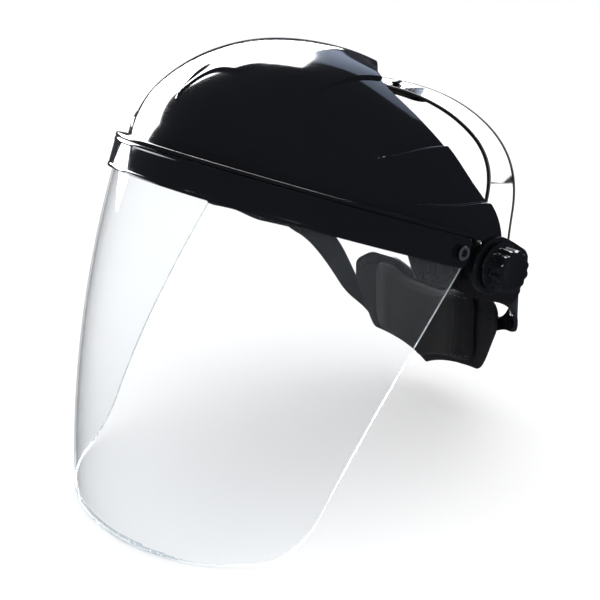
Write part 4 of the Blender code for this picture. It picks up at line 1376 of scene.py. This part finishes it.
def make_side_softbox():
    """Glowing sheet on the wearer's right; its outline bounds the white reflection on the dome."""
    bm = bmesh.new()
    far = SOFTBOX_DISTANCE
    bm.faces.new([bm.verts.new((-far, y * far, z * far)) for y, z in SOFTBOX_CORNERS])
    sheet = add_object("side_softbox", bm)
    sheet.location = PIVOT
    shader = Shader("softbox_glow")
    glow = shader.add("ShaderNodeEmission")
    glow.inputs["Color"].default_value = (0.97, 0.98, 1.0, 1)
    glow.inputs["Strength"].default_value = SOFTBOX_RADIANCE
    shader.join(glow.outputs[0], shader.output.inputs["Surface"])
    sheet.data.materials.append(shader.mat)
    sheet.visible_camera = sheet.visible_diffuse = False
    sheet.visible_shadow = sheet.visible_transmission = False


SURROUND = (1.07, 1.07, 1.07, 1)
MIRRORED_SURROUND = (0.055, 0.058, 0.068, 1)


def make_world():
    """White surround that mirror-like surfaces see as nearly black."""
    world = bpy.data.worlds.new("studio")
    bpy.context.scene.world = world
    world.use_nodes = True
    tree = world.node_tree
    background = tree.nodes["Background"]
    path = tree.nodes.new("ShaderNodeLightPath")
    mix = tree.nodes.new("ShaderNodeMix")
    mix.data_type = "RGBA"
    mix.inputs["A"].default_value = SURROUND
    mix.inputs["B"].default_value = MIRRORED_SURROUND
    tree.links.new(path.outputs["Is Glossy Ray"], mix.inputs["Factor"])
    tree.links.new(mix.outputs["Result"], background.inputs["Color"])
    background.inputs["Strength"].default_value = 1.0


FLOOR_REACH = 6.0
FLOOR_GAP = 0.0004


def make_floor():
    """Pale floor just below the object, which its glossy parts don't mirror."""
    reach, height = FLOOR_REACH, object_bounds()[0].z - FLOOR_GAP
    bm = bmesh.new()
    corners = ((-reach, -reach), (reach, -reach), (reach, reach), (-reach, reach))
    bm.faces.new([bm.verts.new((x, y, height)) for x, y in corners])
    floor = add_object("floor", bm)
    shader = Shader("pale_floor")
    tone = shader.noise(3, 4)
    shader.drive("Base Color", shader.colours(tone, (0.93, 0.93, 0.935), (0.955, 0.955, 0.96)))
    shader.set(Roughness=0.8, Specular_IOR_Level=0.1)
    floor.data.materials.append(shader.mat)
    floor.visible_glossy = False


# ---- build ----
make_crown()
lip = make_lip()
band = make_band()
make_window()
make_band_studs()
make_headband()
straps = make_crown_straps()
make_strap_pegs()
knobs = []
for side, sign in SIDES:
    out = along_x(sign)
    make_pivot_bolt(side, out)
    make_pivot_bush(side, out)
    make_pivot_washer(side, out)
    make_insert_nut(side, out)
    knobs.append(make_tension_knob(side, out))
make_nape_housing()
make_nape_cover()
for side, sign in SIDES:
    make_screw(side, sign)
make_ratchet_knob()
make_ratchet_pinion()
make_ratchet_spring()
make_rear_straps()
make_brow_pad()
make_nape_pad()

make_camera()
make_world()
make_floor()
make_side_softbox()
# each light: where it stands, where it aims (both from PIVOT), its width and height, its radiance
area_light("rear_sheen", (-0.40, 1.1, 0.80), (0, 0, 0), 1.1, 0.7, 1.0, (0.62, 0.75, 1.0))
area_light("strap_softbox", (0.1, 1.1, 0.95), (0, 0, 0.05), 2.6, 1.5, 16.0, only=straps)
area_light("strap_kick", (0.30, 0.27, -0.02), (0, 0, 0.02), 0.30, 0.22, 16.0, only=straps)
area_light("band_softbox", (-0.9, -0.85, -0.2), (0, -0.13, 0.05), 0.7, 0.7, 7.0, (0.9, 0.94, 1.0),
           only=[band])
area_light("edge_softbox", (-0.15, 0.22, 0.9), (0, -0.05, 0), 0.8, 0.5, 9.0, only=[band, lip, *knobs])
area_light("overhead", (0.2, -0.3, 1.6), (0, 0, 0), 1.6, 1.6, 0.9, diffuse=True)
bpy.context.scene.view_settings.view_transform = "Standard"
